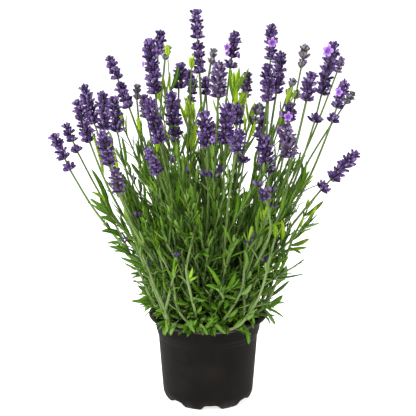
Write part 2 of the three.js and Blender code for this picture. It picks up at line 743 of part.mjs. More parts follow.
function makePlant() {
  const group = new THREE.Group();
  group.name = 'potted_lavender';
  const clumps = clumpPlaces().map((place) => ({ place, stems: [] }));
  const stems = makeStems(clumps);
  const leaves = placeLeaves(stems);
  addMesh(group, 'pot', geometryOf(makePot()), 'pot');
  addMesh(group, 'soil', geometryOf(makeSoil(clumps)), 'soil');
  clumps.forEach((clump, i) => {
    addMesh(group, `clump_${number(i)}`, geometryOf(makeClump(clump, leaves)), 'leaf');
  });
  stems.filter((stem) => stem.spike).forEach((stem, i) => {
    addMesh(group, `spike_${number(i)}`, spikeGeometry(stem), stem.spike.look);
  });
  return group;
}

export default makePlant();
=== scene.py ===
# %% [markdown]
# This file dresses a potted lavender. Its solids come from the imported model: a pot, its soil, eight
# leafy clumps and fifty flower spikes. Here each of them gets the surface that the real one shows:
# square stems, narrow leaves with rolled edges, woolly calyces and a satin plastic pot. Everything is
# in metres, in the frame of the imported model, so a finer piece goes just where its solid is.

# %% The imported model
import math

import bmesh
import bpy
import numpy as np
from mathutils import Matrix, Vector
from mathutils.geometry import intersect_point_line


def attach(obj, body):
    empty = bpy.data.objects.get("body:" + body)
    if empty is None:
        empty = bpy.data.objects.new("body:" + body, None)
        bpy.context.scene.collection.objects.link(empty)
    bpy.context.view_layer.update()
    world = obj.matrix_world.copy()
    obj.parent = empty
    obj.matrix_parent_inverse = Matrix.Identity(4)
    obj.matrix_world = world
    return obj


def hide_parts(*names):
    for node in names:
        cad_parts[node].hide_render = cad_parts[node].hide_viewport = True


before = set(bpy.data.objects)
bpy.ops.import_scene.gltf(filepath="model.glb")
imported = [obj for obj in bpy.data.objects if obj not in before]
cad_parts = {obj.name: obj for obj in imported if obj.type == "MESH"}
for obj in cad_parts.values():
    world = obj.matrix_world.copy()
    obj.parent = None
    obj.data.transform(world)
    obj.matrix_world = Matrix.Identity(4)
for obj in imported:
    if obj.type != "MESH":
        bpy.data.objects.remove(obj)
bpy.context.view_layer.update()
MM = 0.001

# %% [markdown]
# The camera stands where the photograph was taken from. The ellipse of the pot's rim tells how far it
# looks down, and the way that the pot narrows tells how near it is. It is set first, because every
# later choice is looked at through it.

# %% The camera
CAMERA_PLACE = Vector((0.0, -0.974, 0.444))
CAMERA_DOWN = math.radians(13.33)
FRAME_PIXELS = 416
FOCAL_PIXELS = 933


def add_object(name, data):
    made = bpy.data.objects.new(name, data)
    bpy.context.scene.collection.objects.link(made)
    return made


camera_data = bpy.data.cameras.new("camera")
camera_data.sensor_width = 36.0
camera_data.lens = FOCAL_PIXELS / FRAME_PIXELS * camera_data.sensor_width
camera = add_object("camera", camera_data)
camera.location = CAMERA_PLACE
camera.rotation_euler = (math.pi / 2 - CAMERA_DOWN, 0.0, 0.0)
bpy.context.scene.camera = camera
print("lens in mm:", round(camera_data.lens, 1))

# %% [markdown]
# A lavender's flower head is a spike of whorls. The plan of the plant lists them as a grower might:
# where each tip is, where the spike's foot is, how many whorls it has, how far its buds reach, whether
# there is bare stem under its lowest whorls, and which of its flowers are open. The numbers are the
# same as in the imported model, in millimetres. An open flower is named by its whorl, counted from
# below, by the way that it faces in degrees, where 270 is towards the viewer, and by its width. Spikes
# are violet where no other look is named.

# %% The plan of the spikes
VIOLET, MAUVE, BUD = "violet_calyx", "mauve_calyx", "grey_green_bud"


def spike(tip, foot, whorls, reach, look=VIOLET, gap=(0, 0), flowers=()):
    return {"tip": tip, "foot": foot, "whorls": whorls, "reach": reach, "look": look, "gap": gap,
            "flowers": flowers}


SPIKES = [
    # left side
    spike((-162, -10, 296), (-145, 256), 5, 7.0, gap=(1, 6)),
    spike((-155, 25, 303), (-141, 270), 4, 6.5, gap=(1, 5)),
    spike((-109, 55, 372), (-86, 315), 8, 7.0, gap=(4, 5)),
    spike((-135, 38, 342), (-123, 299), 6, 8.0),
    spike((-135, -18, 333), (-123, 287), 6, 8.0),
    spike((-105, -52, 345), (-104, 305), 5, 8.0),
    spike((-100, 8, 333), (-96, 294), 5, 8.0),
    spike((-102, -85, 310), (-97, 274), 5, 8.0),
    spike((-88, -112, 279), (-85, 253), 4, 7.5, MAUVE),
    spike((-80, 82, 339), (-80, 320), 3, 4.5, BUD),
    spike((-60, -18, 393), (-54, 337), 8, 8.3, flowers=[(5, 205, 7)]),
    spike((-51, 62, 399), (-55, 371), 4, 7.0),
    spike((-42, 32, 384), (-46, 368), 3, 4.0, BUD),
    spike((-28, 18, 366), (-31, 339), 4, 7.5, gap=(1, 3)),
    spike((-22, 78, 355), (-21, 336), 3, 6.5),
    spike((-15, 45, 348), (-19, 322), 4, 6.0, MAUVE, gap=(1, 3)),
    spike((-70, 42, 330), (-66, 305), 4, 7.5, MAUVE),
    spike((-58, -62, 338), (-48, 292), 6, 8.5),
    spike((-37, -42, 344), (-33, 296), 6, 8.0, gap=(1, 4)),
    spike((-59, -100, 298), (-48, 268), 4, 6.5),
    # middle
    spike((-13, 25, 423), (-9, 355), 8, 7.2, gap=(4, 4)),
    spike((8, 98, 378), (3, 359), 3, 4.5, BUD),
    spike((11, -48, 372), (10, 336), 5, 9.0, MAUVE),
    spike((30, 52, 399), (24, 358), 5, 7.5, gap=(1, 4),
          flowers=[(3, 240, 8), (2, 218, 6), (2, 318, 6)]),
    spike((-4, 58, 350), (-2, 328), 3, 6.5),
    spike((45, 72, 353), (40, 324), 4, 7.0, MAUVE),
    spike((19, -78, 334), (17, 294), 6, 8.8),
    spike((31, -12, 329), (30, 305), 3, 7.0),
    spike((31, -103, 315), (27, 291), 3, 7.5),
    spike((-4, -88, 328), (-1, 292), 5, 8.8, flowers=[(2, 300, 6)]),
    spike((37, -52, 280), (36, 272), 1, 8.0),
    spike((55, 2, 326), (47, 302), 3, 6.0, BUD, gap=(1, 4)),
    # right side
    spike((67, 22, 408), (66, 369), 5, 7.0, flowers=[(3, 278, 9)]),
    spike((59, -32, 370), (61, 331), 5, 8.0),
    spike((79, 48, 377), (74, 331), 6, 8.0),
    spike((104, 30, 387), (93, 327), 4, 5.5, BUD, gap=(1, 24)),
    spike((97, 82, 345), (89, 325), 3, 4.5, BUD, gap=(1, 4)),
    spike((130, -8, 391), (111, 306), 8, 8.2, gap=(1, 22), flowers=[(7, 250, 11)]),
    spike((104, -28, 362), (100, 331), 4, 7.8),
    spike((146, 48, 372), (140, 354), 3, 5.0, MAUVE),
    spike((139, -28, 353), (127, 309), 5, 7.0, gap=(1, 8), flowers=[(4, 235, 8)]),
    spike((155, 15, 337), (145, 323), 3, 4.0, BUD),
    spike((152, -42, 283), (116, 240), 6, 8.0, gap=(1, 7)),
    spike((53, -82, 305), (60, 266), 5, 8.5),
    spike((85, -14, 328), (84, 308), 3, 7.5, flowers=[(1, 245, 9), (2, 200, 8)]),
    spike((76, -68, 314), (81, 279), 5, 8.8, MAUVE, flowers=[(4, 150, 8)]),
    spike((50, -106, 258), (56, 246), 2, 6.0),
    # low ones round the back
    spike((-62, 116, 300), (-57, 270), 4, 7.5),
    spike((6, 132, 288), (5, 258), 4, 7.5, MAUVE),
    spike((66, 120, 302), (60, 272), 4, 7.5),
]
print("spikes:", len(SPIKES), "whorls:", sum(s["whorls"] for s in SPIKES))

# %% [markdown]
# Between the flowering stems stand leafy shoots that carry no flower. They make the green body of the
# plant. The plan names the place of each tip.

# %% The plan of the leafy shoots
SHOOTS = [
    # tall ones among the spikes
    (27, 10, 338), (-44, -8, 330), (84, 20, 318), (-92, 30, 296), (8, -60, 286), (-24, 40, 306),
    (44, 30, 300),
    # the sides
    (-106, -26, 216), (-98, 30, 236), (-84, -46, 178), (-60, -62, 128),
    (106, -34, 206), (104, 30, 232), (90, -54, 166), (64, -66, 128),
    # the front
    (-44, -82, 204), (-16, -90, 232), (26, -92, 200), (60, -80, 222), (2, -72, 140), (-30, -44, 256),
    (50, -40, 250),
    # the back
    (-62, 84, 220), (-18, 98, 240), (32, 96, 210), (74, 78, 228), (0, 60, 270),
]
print("shoots:", len(SHOOTS))

# %% [markdown]
# A plant looks random, but a model has to come out the same each time. So the small differences come
# from a rule that makes the next number out of the last one, and starts from a fixed seed.

# %% Repeatable random numbers


def make_random(seed):
    state = seed

    def step():
        nonlocal state
        state = (state * 1664525 + 1013904223) % 4294967296
        return state / 4294967296

    return step


def vary(random, part):
    """A factor close to 1."""
    return 1 + part * (2 * random() - 1)


sample = make_random(3)
print("first numbers:", round(sample(), 3), round(sample(), 3))

# %% [markdown]
# The stems grow from eight woody feet, one in the middle of the pot and seven in a ring. Each stem
# belongs to the foot that its own line points back to, and the feet are as thick as their stems need.

# %% Feet and stems
SOIL_TOP = 87
POT_HEIGHT = 97
MOUTH_RADIUS = 57.5
SOIL_MOUND = 1.5
CROWN_TOP = SOIL_TOP + 9
FAN_CENTRE = 60
WOODY_RADIUS = 1.3
RING_RADIUS = 28
RING_CLUMPS = 7
MIDDLE_CLUMP = (0.0, 2.0)
ROOT_SPREAD = 0.24
FOOT_FILL = 0.7
SHOOT_TURN = 0.86


def clump_places():
    places = [MIDDLE_CLUMP]
    for i in range(RING_CLUMPS):
        turn = -math.pi / 2 + (i + 0.5) * 2 * math.pi / RING_CLUMPS
        places.append((math.cos(turn) * RING_RADIUS, math.sin(turn) * RING_RADIUS))
    return places


def list_stems():
    stems = []
    for plan in SPIKES:
        share = (plan["foot"][1] - FAN_CENTRE) / (plan["tip"][2] - FAN_CENTRE)
        foot = (plan["foot"][0], plan["tip"][1] * share, plan["foot"][1])
        stems.append({"tip": plan["tip"], "foot": foot, "spike": plan})
    for tip in SHOOTS:
        foot = (tip[0] * SHOOT_TURN, tip[1] * SHOOT_TURN, CROWN_TOP + (tip[2] - CROWN_TOP) * SHOOT_TURN)
        stems.append({"tip": tip, "foot": foot, "spike": None})
    return stems


def share_out(stems, places):
    """Give each stem to its nearest foot, and spread its root over that foot."""
    clumps = [{"place": place, "stems": []} for place in places]
    for stem in stems:
        x, y = stem["tip"][0] * ROOT_SPREAD, stem["tip"][1] * ROOT_SPREAD
        nearest = min(clumps, key=lambda c: math.hypot(c["place"][0] - x, c["place"][1] - y))
        stem["clump"] = nearest
        nearest["stems"].append(stem)
    for clump in clumps:
        tips = np.array([stem["tip"][:2] for stem in clump["stems"]], float)
        middle = tips.mean(axis=0)
        clump["radius"] = WOODY_RADIUS * (1 + math.sqrt(len(tips)))
        scale = FOOT_FILL * clump["radius"] / np.hypot(*(tips - middle).T).max()
        for stem, tip in zip(clump["stems"], tips):
            stem["root"] = np.array(clump["place"]) + (tip - middle) * scale
    return clumps


stems = list_stems()
clumps = share_out(stems, clump_places())
print("stems on each foot:", [len(clump["stems"]) for clump in clumps])

# %% [markdown]
# Each stem is planned as a fan line that turns into its spike's own lean. Drawn straight from the
# plan, some would pass through each other. So they are bent clear: at levels of 12 mm, any two that
# are too near push each other apart, mostly in depth, and each stem evens out how far it has moved.

# %% Bending the stems clear
LEVEL_STEP = 12
BEND_ROUNDS = 240
SIDE_SHARE = 0.2
DEPTH_SHARE = 0.5
CLEARANCE = 0.9
STEM_RADIUS = 1.05
ROOT_ROOM = 1.3 * STEM_RADIUS
NO_ROOM = -1e6
NUDGE = (0.0, 1e-3)
KEPT_MOVE = 0.5


def hermite(t, start, end, slope_start, slope_end, rise):
    t2, t3 = t * t, t * t * t
    return ((2 * t3 - 3 * t2 + 1) * start + (t3 - 2 * t2 + t) * slope_start * rise
            + (3 * t2 - 2 * t3) * end + (t3 - t2) * slope_end * rise)


def plan_line(stem):
    """The stem's place at each level, and the room that it needs there."""
    root, foot, tip = stem["root"], np.array(stem["foot"], float), np.array(stem["tip"], float)
    rise = foot[2] - CROWN_TOP
    lean = (tip[:2] - foot[:2]) / (tip[2] - foot[2])
    slant = math.hypot(lean[0], lean[1], 1)
    points, rooms = [], []
    for k in range(math.ceil((tip[2] - CROWN_TOP) / LEVEL_STEP) + 1):
        z = CROWN_TOP + k * LEVEL_STEP
        if z <= foot[2]:
            slope = (foot[:2] - root) / rise
            points.append(hermite((z - CROWN_TOP) / rise, root, foot[:2], slope, lean, rise))
        else:
            points.append(foot[:2] + lean * (z - foot[2]))
        in_spike = stem["spike"] and z > foot[2] - LEVEL_STEP / 2
        rooms.append((stem["spike"]["reach"] if in_spike else STEM_RADIUS) * slant)
    return np.array(points), np.array(rooms)


def bend_clear(stems):
    plans = [plan_line(stem) for stem in stems]
    levels = max(len(points) for points, _ in plans)
    count = len(stems)
    plan = np.zeros((count, levels, 2))
    room = np.full((count, levels), NO_ROOM)
    last = np.array([len(points) - 1 for points, _ in plans])
    for i, (points, rooms) in enumerate(plans):
        plan[i, :len(points)] = points
        room[i, :len(points)] = rooms
    one, other = np.triu_indices(count, 1)
    spare = np.where(np.arange(levels) > 0, CLEARANCE, 0.0)
    needed = room[one] + room[other] + spare
    places = np.array([stem["clump"]["place"] for stem in stems])
    limits = np.array([stem["clump"]["radius"] - ROOT_ROOM for stem in stems])
    share = np.array([SIDE_SHARE, DEPTH_SHARE])
    above = np.minimum(np.arange(levels)[None, :] + 1, last[:, None])
    line = plan.copy()
    for _ in range(BEND_ROUNDS):
        apart = line[one] - line[other] + NUDGE
        distance = np.hypot(apart[..., 0], apart[..., 1])
        short = np.maximum(needed - distance, 0.0)
        push = share * (short / distance)[..., None] * apart
        moved = line - plan
        np.add.at(moved, one, push)
        np.subtract.at(moved, other, push)
        below = np.concatenate([moved[:, :1], moved[:, :-1]], axis=1)
        over = np.take_along_axis(moved, above[..., None], axis=1)
        line = plan + KEPT_MOVE * moved + (1 - KEPT_MOVE) / 2 * (below + over)
        out = line[:, 0] - places
        distance = np.hypot(out[:, 0], out[:, 1])
        far = distance > limits
        line[far, 0] = places[far] + out[far] * (limits[far] / distance[far])[:, None]
    for i, stem in enumerate(stems):
        stem["line"] = line[i, :last[i] + 1]
    return np.abs(line - plan).max()


print("furthest bend in mm:", round(float(bend_clear(stems)), 1))

# %% [markdown]
# A point of a bent stem is read off between two levels. The solids join a few such points with straight
# pieces, because they have few faces. The dressed stems pass through the same levels as smooth curves.

# %% Lines and corners
GAP = 0.3
ROOT_HEIGHT = SOIL_TOP + 2
STEM_STEPS = 4
SHOOT_STEPS = 3


def line_at(stem, z):
    line = stem["line"]
    place = (z - CROWN_TOP) / LEVEL_STEP
    level = min(max(math.floor(place), 0), len(line) - 2)
    x, y = line[level] + (line[level + 1] - line[level]) * (place - level)
    return Vector((x, y, z))


def add_corners(stem):
    steps = STEM_STEPS if stem["spike"] else SHOOT_STEPS
    stem["top"] = stem["foot"][2] - GAP if stem["spike"] else stem["tip"][2]
    corners = [Vector((*stem["line"][0], ROOT_HEIGHT))]
    for k in range(steps + 1):
        corners.append(line_at(stem, CROWN_TOP + (stem["top"] - CROWN_TOP) * k / steps))
    stem["corners"] = corners


def at_height(points, z):
    """The place at a height on a rising line of points."""
    i = next((i for i in range(1, len(points)) if points[i].z >= z), len(points) - 1)
    low, high = points[i - 1], points[i]
    part = (z - low.z) / max(high.z - low.z, 1e-6)
    return low.lerp(high, min(max(part, 0.0), 1.0))


for stem in stems:
    add_corners(stem)
print("tallest stem in mm:", round(max(stem["top"] for stem in stems)))

# %% [markdown]
# Lavender leaves stand in pairs, and each pair crosses the one below it. The rule walks up each stem,
# gives every leaf its lean and its length, and keeps it only where it is clear of the pot and of other
# stems and leaves. It is the rule that the solids were grown with, so every solid leaf gets its
# dressed leaf in the same place.

# %% The main leaves
LEAF_LENGTH = 42
LEAF_WIDTH = 5
LEAF_TRIES = 4
TRY_TURN = 1.6
PAIR_STRETCH = 1.08
FIRST_VARY = 8
SIZE_VARY = 0.15
TURN_VARY = 0.3
SPREAD_VARY = 0.25
BEND_VARY = 0.4
BEND_UP = 0.4
SOIL_ROOM = 2
LIP_ROOM = 3
STEM_LEAVES = {"from": 10, "to": 0.42, "step": 30, "spread": (38, 38), "size": (1, 0.7)}
SHOOT_LEAVES = {"from": 4, "to": 1, "step": 21, "spread": (60, 22), "size": (1.08, 0.7)}
LEAF_CHECKS = (0.3, 0.45, 0.6, 0.75, 0.9, 1)
LEAF_START = 0.2
LEAF_SEED = 3
TOP_ROOM = 2
STEM_PIECE = 2


def mix(pair, part):
    return pair[0] + (pair[1] - pair[0]) * part


def leaf_nodes(stem, random):
    habit = STEM_LEAVES if stem["spike"] else SHOOT_LEAVES
    top = CROWN_TOP + (stem["top"] - CROWN_TOP) * habit["to"] - TOP_ROOM
    nodes = []
    z = CROWN_TOP + habit["from"] + FIRST_VARY * random()
    turn = random() * math.pi
    step = habit["step"]
    while z < top:
        nodes.append({"z": z, "turn": turn, "up": (z - CROWN_TOP) / (top - CROWN_TOP), "habit": habit})
        z += step * vary(random, SIZE_VARY)
        step *= PAIR_STRETCH
        turn += math.pi / 2 + TURN_VARY * (random() - 0.5)
    return nodes


def outwards(along, turn):
    """The direction square to a stem, at a turn round it."""
    side = Vector((0, 1, 0)).cross(along).normalized()
    return side * math.cos(turn) + along.cross(side) * math.sin(turn)


def midrib(stem, node, turn, random):
    root = at_height(stem["corners"], node["z"])
    along = (root - at_height(stem["corners"], node["z"] - STEM_PIECE)).normalized()
    out = outwards(along, turn)
    spread = math.radians(mix(node["habit"]["spread"], node["up"])) + SPREAD_VARY * (random() - 0.5)
    half = LEAF_LENGTH / 2 * mix(node["habit"]["size"], node["up"]) * vary(random, SIZE_VARY)
    bend = BEND_VARY * (random() - BEND_UP)
    middle = root + (along * math.cos(spread) + out * math.sin(spread)) * half
    tip = middle + (along * math.cos(spread + bend) + out * math.sin(spread + bend)) * half
    return {"stem": stem, "z": node["z"], "along": along, "points": (root, middle, tip), "bend": bend,
            "up": node["up"]}


def point_of_leaf(leaf, part):
    root, middle, tip = leaf["points"]
    return root.lerp(middle, part * 2) if part < 0.5 else middle.lerp(tip, part * 2 - 1)


def clear_of_pot(point):
    if math.hypot(point.x, point.y) < MOUTH_RADIUS - LEAF_WIDTH:
        return point.z > SOIL_TOP + SOIL_MOUND + SOIL_ROOM
    return point.z > POT_HEIGHT + LIP_ROOM


class Obstacles:
    """Thick straight pieces that leaves keep clear of."""

    def __init__(self):
        self.starts, self.spans, self.radii, self.owners = [], [], [], []

    def add(self, owner, radius, start, end):
        self.starts.append(tuple(start))
        self.spans.append(tuple(end - start))
        self.radii.append(radius)
        self.owners.append(owner)

    def distances(self, point):
        starts, spans = np.array(self.starts), np.array(self.spans)
        away = np.array(point) - starts
        part = np.clip((away * spans).sum(axis=1) / (spans * spans).sum(axis=1), 0, 1)
        return np.linalg.norm(away - spans * part[:, None], axis=1) - np.array(self.radii)

    def clear(self, leaf, room):
        owner = stems.index(leaf["stem"])
        others = np.array(self.owners) != owner
        for part in LEAF_CHECKS:
            point = point_of_leaf(leaf, part)
            if not clear_of_pot(point) or (self.distances(point)[others] <= room).any():
                return False
        return True


def place_leaves(stems):
    random = make_random(LEAF_SEED)
    pieces = Obstacles()
    for owner, stem in enumerate(stems):
        for start, end in zip(stem["corners"], stem["corners"][1:]):
            pieces.add(owner, STEM_RADIUS, start, end)
        if stem["spike"]:
            pieces.add(owner, stem["spike"]["reach"], line_at(stem, stem["foot"][2]),
                       line_at(stem, stem["tip"][2]))
    room = (LEAF_WIDTH + CLEARANCE) / 2
    leaves = []
    for owner, stem in enumerate(stems):
        for node in leaf_nodes(stem, random):
            for side in (0, math.pi):
                leaf = midrib(stem, node, node["turn"] + side, random)
                tries = 0
                while tries < LEAF_TRIES and not pieces.clear(leaf, room):
                    turn = node["turn"] + side + TRY_TURN * (random() - 0.5)
                    leaf = midrib(stem, node, turn, random)
                    tries += 1
                if not pieces.clear(leaf, room):
                    continue
                leaves.append(leaf)
                root, middle, tip = leaf["points"]
                pieces.add(owner, LEAF_WIDTH / 2, root.lerp(middle, LEAF_START), middle)
                pieces.add(owner, LEAF_WIDTH / 2, middle, tip)
    return leaves


leaves = place_leaves(stems)
print("main leaves:", len(leaves))

# %% [markdown]
# Every finish here is made of nodes. Calculating with nodes by hand takes many lines, so one small
# class stands for a socket and takes part in sums, and another one adds any other kind of node.

# %% Nodes for the finishes


class Wire:
    """An output of a node that can be used in a sum."""

    def __init__(self, tree, socket):
        self.tree, self.socket = tree, socket

    def maths(self, operation, other):
        node = self.tree.nodes.new("ShaderNodeMath")
        node.operation = operation
        plug(self.tree, node.inputs[0], self)
        plug(self.tree, node.inputs[1], other)
        return Wire(self.tree, node.outputs[0])

    def __add__(self, other):
        return self.maths("ADD", other)

    def __sub__(self, other):
        return self.maths("SUBTRACT", other)

    def __mul__(self, other):
        return self.maths("MULTIPLY", other)

    __radd__ = __add__
    __rmul__ = __mul__


def plug(tree, slot, value):
    """Put a value into a socket, or a link where the value is another node's output."""
    if isinstance(value, Wire):
        tree.links.new(value.socket, slot)
    elif value is not None:
        slot.default_value = value


def colour(red, green, blue):
    """A colour as a picture editor shows it, turned by the sRGB rule into the numbers of light."""
    parts = [c / 255 for c in (red, green, blue)]
    return [p / 12.92 if p < 0.04045 else ((p + 0.055) / 1.055) ** 2.4 for p in parts] + [1.0]


class Finish:
    """One material and its nodes."""

    def __init__(self, name, **constants):
        self.material = bpy.data.materials.new(name)
        self.material.use_nodes = True
        self.tree = self.material.node_tree
        self.shader = self.tree.nodes["Principled BSDF"]
        for socket, value in constants.items():
            self.shader.inputs[socket.replace("_", " ")].default_value = value

    def node(self, kind, values, output=0, **settings):
        node = self.tree.nodes.new(kind)
        for name, value in settings.items():
            setattr(node, name, value)
        for slot, value in values.items():
            plug(self.tree, node.inputs[slot], value)
        return Wire(self.tree, node.outputs[output])

    def place(self, stretch=(1, 1, 1)):
        """The place on the object in metres, stretched where a pattern runs one way."""
        place = self.node("ShaderNodeTexCoord", {}, "Object")
        return self.node("ShaderNodeMapping", {"Vector": place, "Scale": stretch})

    def height(self):
        return self.node("ShaderNodeSeparateXYZ", {"Vector": self.place()}, "Z")

    def noise(self, scale, detail, stretch=(1, 1, 1)):
        values = {"Vector": self.place(stretch), "Scale": scale, "Detail": detail}
        return self.node("ShaderNodeTexNoise", values)

    def own(self, name):
        """A number that the mesh carries for each of its points."""
        return self.node("ShaderNodeAttribute", {}, "Fac", attribute_name=name)

    def ramp(self, value, low, high):
        """0 up to the first number, 1 from the second one on, and a soft step between them."""
        values = {"Value": value, "From Min": low, "From Max": high}
        return self.node("ShaderNodeMapRange", values, interpolation_type="SMOOTHSTEP")

    def blend(self, factor, *shades):
        """A mix of two shades, which are other nodes or colours as a picture editor shows them."""
        first, second = (colour(*shade) if isinstance(shade, tuple) else shade for shade in shades)
        return self.node("ShaderNodeMix", {0: factor, 6: first, 7: second}, 2, data_type="RGBA")

    def bump(self, height, strength, distance):
        return self.node("ShaderNodeBump", {"Height": height, "Strength": strength, "Distance": distance})

    def done(self, base, roughness, normal=None):
        for slot, value in (("Base Color", base), ("Roughness", roughness), ("Normal", normal)):
            plug(self.tree, self.shader.inputs[slot], value)
        print(self.material.name, "nodes:", len(self.tree.nodes))
        return self.material


print("a dark violet in light's own numbers:", [round(c, 3) for c in colour(60, 40, 105)])

# %% [markdown]
# The pot is thin black polypropylene, blown into a mould. It isn't quite black: light from the left
# greys it, and a fine matte grain softens the highlight. The grain could be an image, but two sizes of
# noise do it here, and a faint film of lime and dust lightens the lip and the foot.

# %% Pot plastic


def pot_plastic():
    look = Finish("pot_plastic", Specular_IOR_Level=0.05)
    grain = look.noise(2600.0, 2.0)
    cloud = look.noise(34.0, 4.0)
    streak = look.noise(60.0, 3.0, (1, 1, 0.12))
    height = look.height()
    base = look.blend(look.ramp(cloud, 0.35, 0.7), (17, 16, 14), (26, 23, 21))
    foot_dust = look.ramp(height, 0.014, 0.0) * 0.5
    lip_dust = look.ramp(height, 0.092, 0.0955) * 1.5
    dust = (foot_dust + lip_dust) * look.ramp(streak, 0.3, 0.75) * 0.5
    base = look.blend(dust, base, (98, 92, 90))
    roughness = 0.55 + 0.12 * look.ramp(cloud, 0.3, 0.75) + 0.1 * dust
    normal = look.bump(grain + streak * 0.4, 0.22, 0.00012)
    return look.done(base, roughness, normal)


POT_PLASTIC = pot_plastic()

# %% [markdown]
# Potting compost is dark brown peat with paler bark and fibre in it. The colour changes from crumb to
# crumb, so each crumb carries a number of its own, and noise breaks up the surface between.

# %% Potting soil


def potting_soil():
    look = Finish("potting_soil", Specular_IOR_Level=0.2)
    lump = look.noise(420.0, 5.0)
    fine = look.noise(2400.0, 3.0)
    base = look.blend(look.ramp(lump, 0.35, 0.7), (34, 24, 17), (66, 48, 34))
    pale = look.ramp(look.own("tone"), 0.7, 1.0) * 0.75
    base = look.blend(pale, base, (112, 84, 58))
    return look.done(base, 0.86 + 0.1 * fine, look.bump(lump + fine * 0.4, 0.9, 0.0009))


POTTING_SOIL = potting_soil()

# %% [markdown]
# A lavender leaf is green above and grey with down below, with a sunk midrib and edges that roll
# under. The young leaves at the top are a bright yellow-green, and many of those low in the plant show
# their grey side. Each blade carries four numbers: its tone, how far along it a point is, how near the
# rib, and how grey it is.

# %% Leaf


def leaf_green():
    look = Finish("leaf_green", Specular_IOR_Level=0.12)
    tone, along, rib = look.own("tone"), look.own("along"), look.own("rib")
    height = look.height()
    mottle = look.noise(260.0, 4.0)
    fine = look.noise(1900.0, 2.0)
    up = look.ramp(height, 0.12, 0.24)
    deep = look.blend(up, (38, 72, 6), (44, 82, 4))
    middle = look.blend(up, (76, 118, 18), (76, 118, 10))
    young = look.blend(up, (122, 162, 44), (164, 198, 22))
    shade = tone + 0.3 * mottle - 0.15
    base = look.blend(look.ramp(shade, 0.1, 0.55), deep, middle)
    base = look.blend(look.ramp(shade, 0.65, 1.05), base, young)
    pale_root = look.ramp(along, 0.25, 0.0) * 0.3
    base = look.blend(pale_root, base, (146, 170, 90))
    grey_side = look.own("under") * 0.75
    base = look.blend(grey_side, base, (116, 140, 82))
    midrib_line = look.ramp(rib, 0.6, 1.0) * 0.35
    base = look.blend(midrib_line, base, (150, 178, 100))
    return look.done(base, 0.52 + 0.18 * fine, look.bump(fine + mottle * 0.5, 0.35, 0.00018))


LEAF_GREEN = leaf_green()

# %% [markdown]
# The stems are square, with a paler ridge at each corner and a fine down that makes them look grey.
# Towards the ground they turn woody, and near a flower spike they take on some purple.

# %% Stem


def stem_green():
    look = Finish("stem_green", Specular_IOR_Level=0.12, Sheen_Weight=0.05)
    height, along, rib = look.height(), look.own("along"), look.own("rib")
    down = look.noise(2600.0, 3.0)
    streak = look.noise(700.0, 3.0, (1, 1, 0.05))
    base = look.blend(look.ramp(streak, 0.35, 0.7), (66, 94, 26), (98, 124, 50))
    pale_below = look.ramp(height, 0.24, 0.14) * 0.7
    base = look.blend(pale_below, base, (122, 144, 86))
    woody = look.ramp(height, 0.112, 0.094) * 0.6
    base = look.blend(woody, base, (116, 108, 74))
    purple = look.ramp(along, 0.86, 1.0) * 0.3
    base = look.blend(purple, base, (84, 76, 84))
    base = look.blend(rib * 0.3, base, (158, 178, 126))
    return look.done(base, 0.62 + 0.15 * down, look.bump(down, 0.4, 0.00015))


STEM_GREEN = stem_green()

# %% [markdown]
# Old lavender wood at the foot of the stems is brown and flaky. Its bark splits along the stem, so the
# noise that colours it is drawn out upwards.

# %% Bark


def old_bark():
    look = Finish("old_bark", Specular_IOR_Level=0.2)
    split = look.noise(500.0, 5.0, (1, 1, 0.18))
    base = look.blend(look.ramp(split, 0.35, 0.65), (62, 48, 35), (126, 106, 80))
    return look.done(base, 0.9, look.bump(split, 0.9, 0.0008))


OLD_BARK = old_bark()

# %% [markdown]
# What looks like a flower is mostly the calyx, a ribbed woolly tube that stays when the petals fall.
# It is olive where it starts, darkened there with painted shade, violet along its belly and darkest at
# its mouth, where painted shade fills the opening. Its grey wool is lightened with painted highlights:
# fine noise lightens it in flecks on its outer half and along its ribs. Three mixes make violet, mauve
# and young spikes.

# %% Calyx


def calyx_wool(name, root, belly, mouth, wool_and_highlight):
    look = Finish(name, Specular_IOR_Level=0.12, Sheen_Weight=0.1, Sheen_Roughness=0.4)
    tone, along, rib = look.own("tone"), look.own("along"), look.own("rib")
    wool = look.noise(3200.0, 4.0)
    patch = look.noise(300.0, 3.0)
    # the root colour is olive and dark: partly the calyx's own colour, partly painted shade between the
    # calyces
    base = look.blend(look.ramp(along + 0.3 * patch - 0.15, 0.2, 0.52), root, belly)
    # painted highlight: the pale wool colour laid in patches on the outer half of each calyx
    wool_and_highlight_patch = look.ramp(tone + 0.4 * patch, 0.45, 1.15) * look.ramp(along, 0.3, 0.65)
    base = look.blend(wool_and_highlight_patch, base, wool_and_highlight)
    # painted highlight along the woolly ribs, partly the wool's own grey
    wool_and_highlight_rib = rib * look.ramp(wool, 0.4, 0.62) * look.ramp(along, 0.2, 0.5) * 0.35
    base = look.blend(wool_and_highlight_rib, base, wool_and_highlight)
    dark_calyx = look.ramp(tone, 0.38, 0.05) * 0.75
    base = look.blend(dark_calyx, base, mouth)
    # a darker tip, and painted shade on the face that closes the tube's mouth
    dark_tip_and_mouth_shade = look.ramp(along, 0.86, 1.0) * 0.85
    base = look.blend(dark_tip_and_mouth_shade, base, mouth)
    return look.done(base, 0.75 + 0.2 * wool, look.bump(wool, 0.7, 0.00022))


CALYX = {look: calyx_wool(look, *colours) for look, *colours in [
    # each row: root (olive with painted shade), belly, dark tone and painted mouth shade, wool with painted
    # highlight
    (VIOLET, (44, 46, 24), (74, 46, 106), (36, 20, 56), (132, 110, 160)),
    (MAUVE, (75, 73, 48), (86, 66, 103), (49, 36, 66), (138, 120, 156)),
    (BUD, (104, 112, 62), (92, 84, 98), (54, 48, 70), (150, 146, 158)),
]}

# %% [markdown]
# The petals of an open flower are a clear lilac, thin, and paler at their edge than in the throat. The
# small bracts under each whorl are dry and papery.

# %% Petal and bract


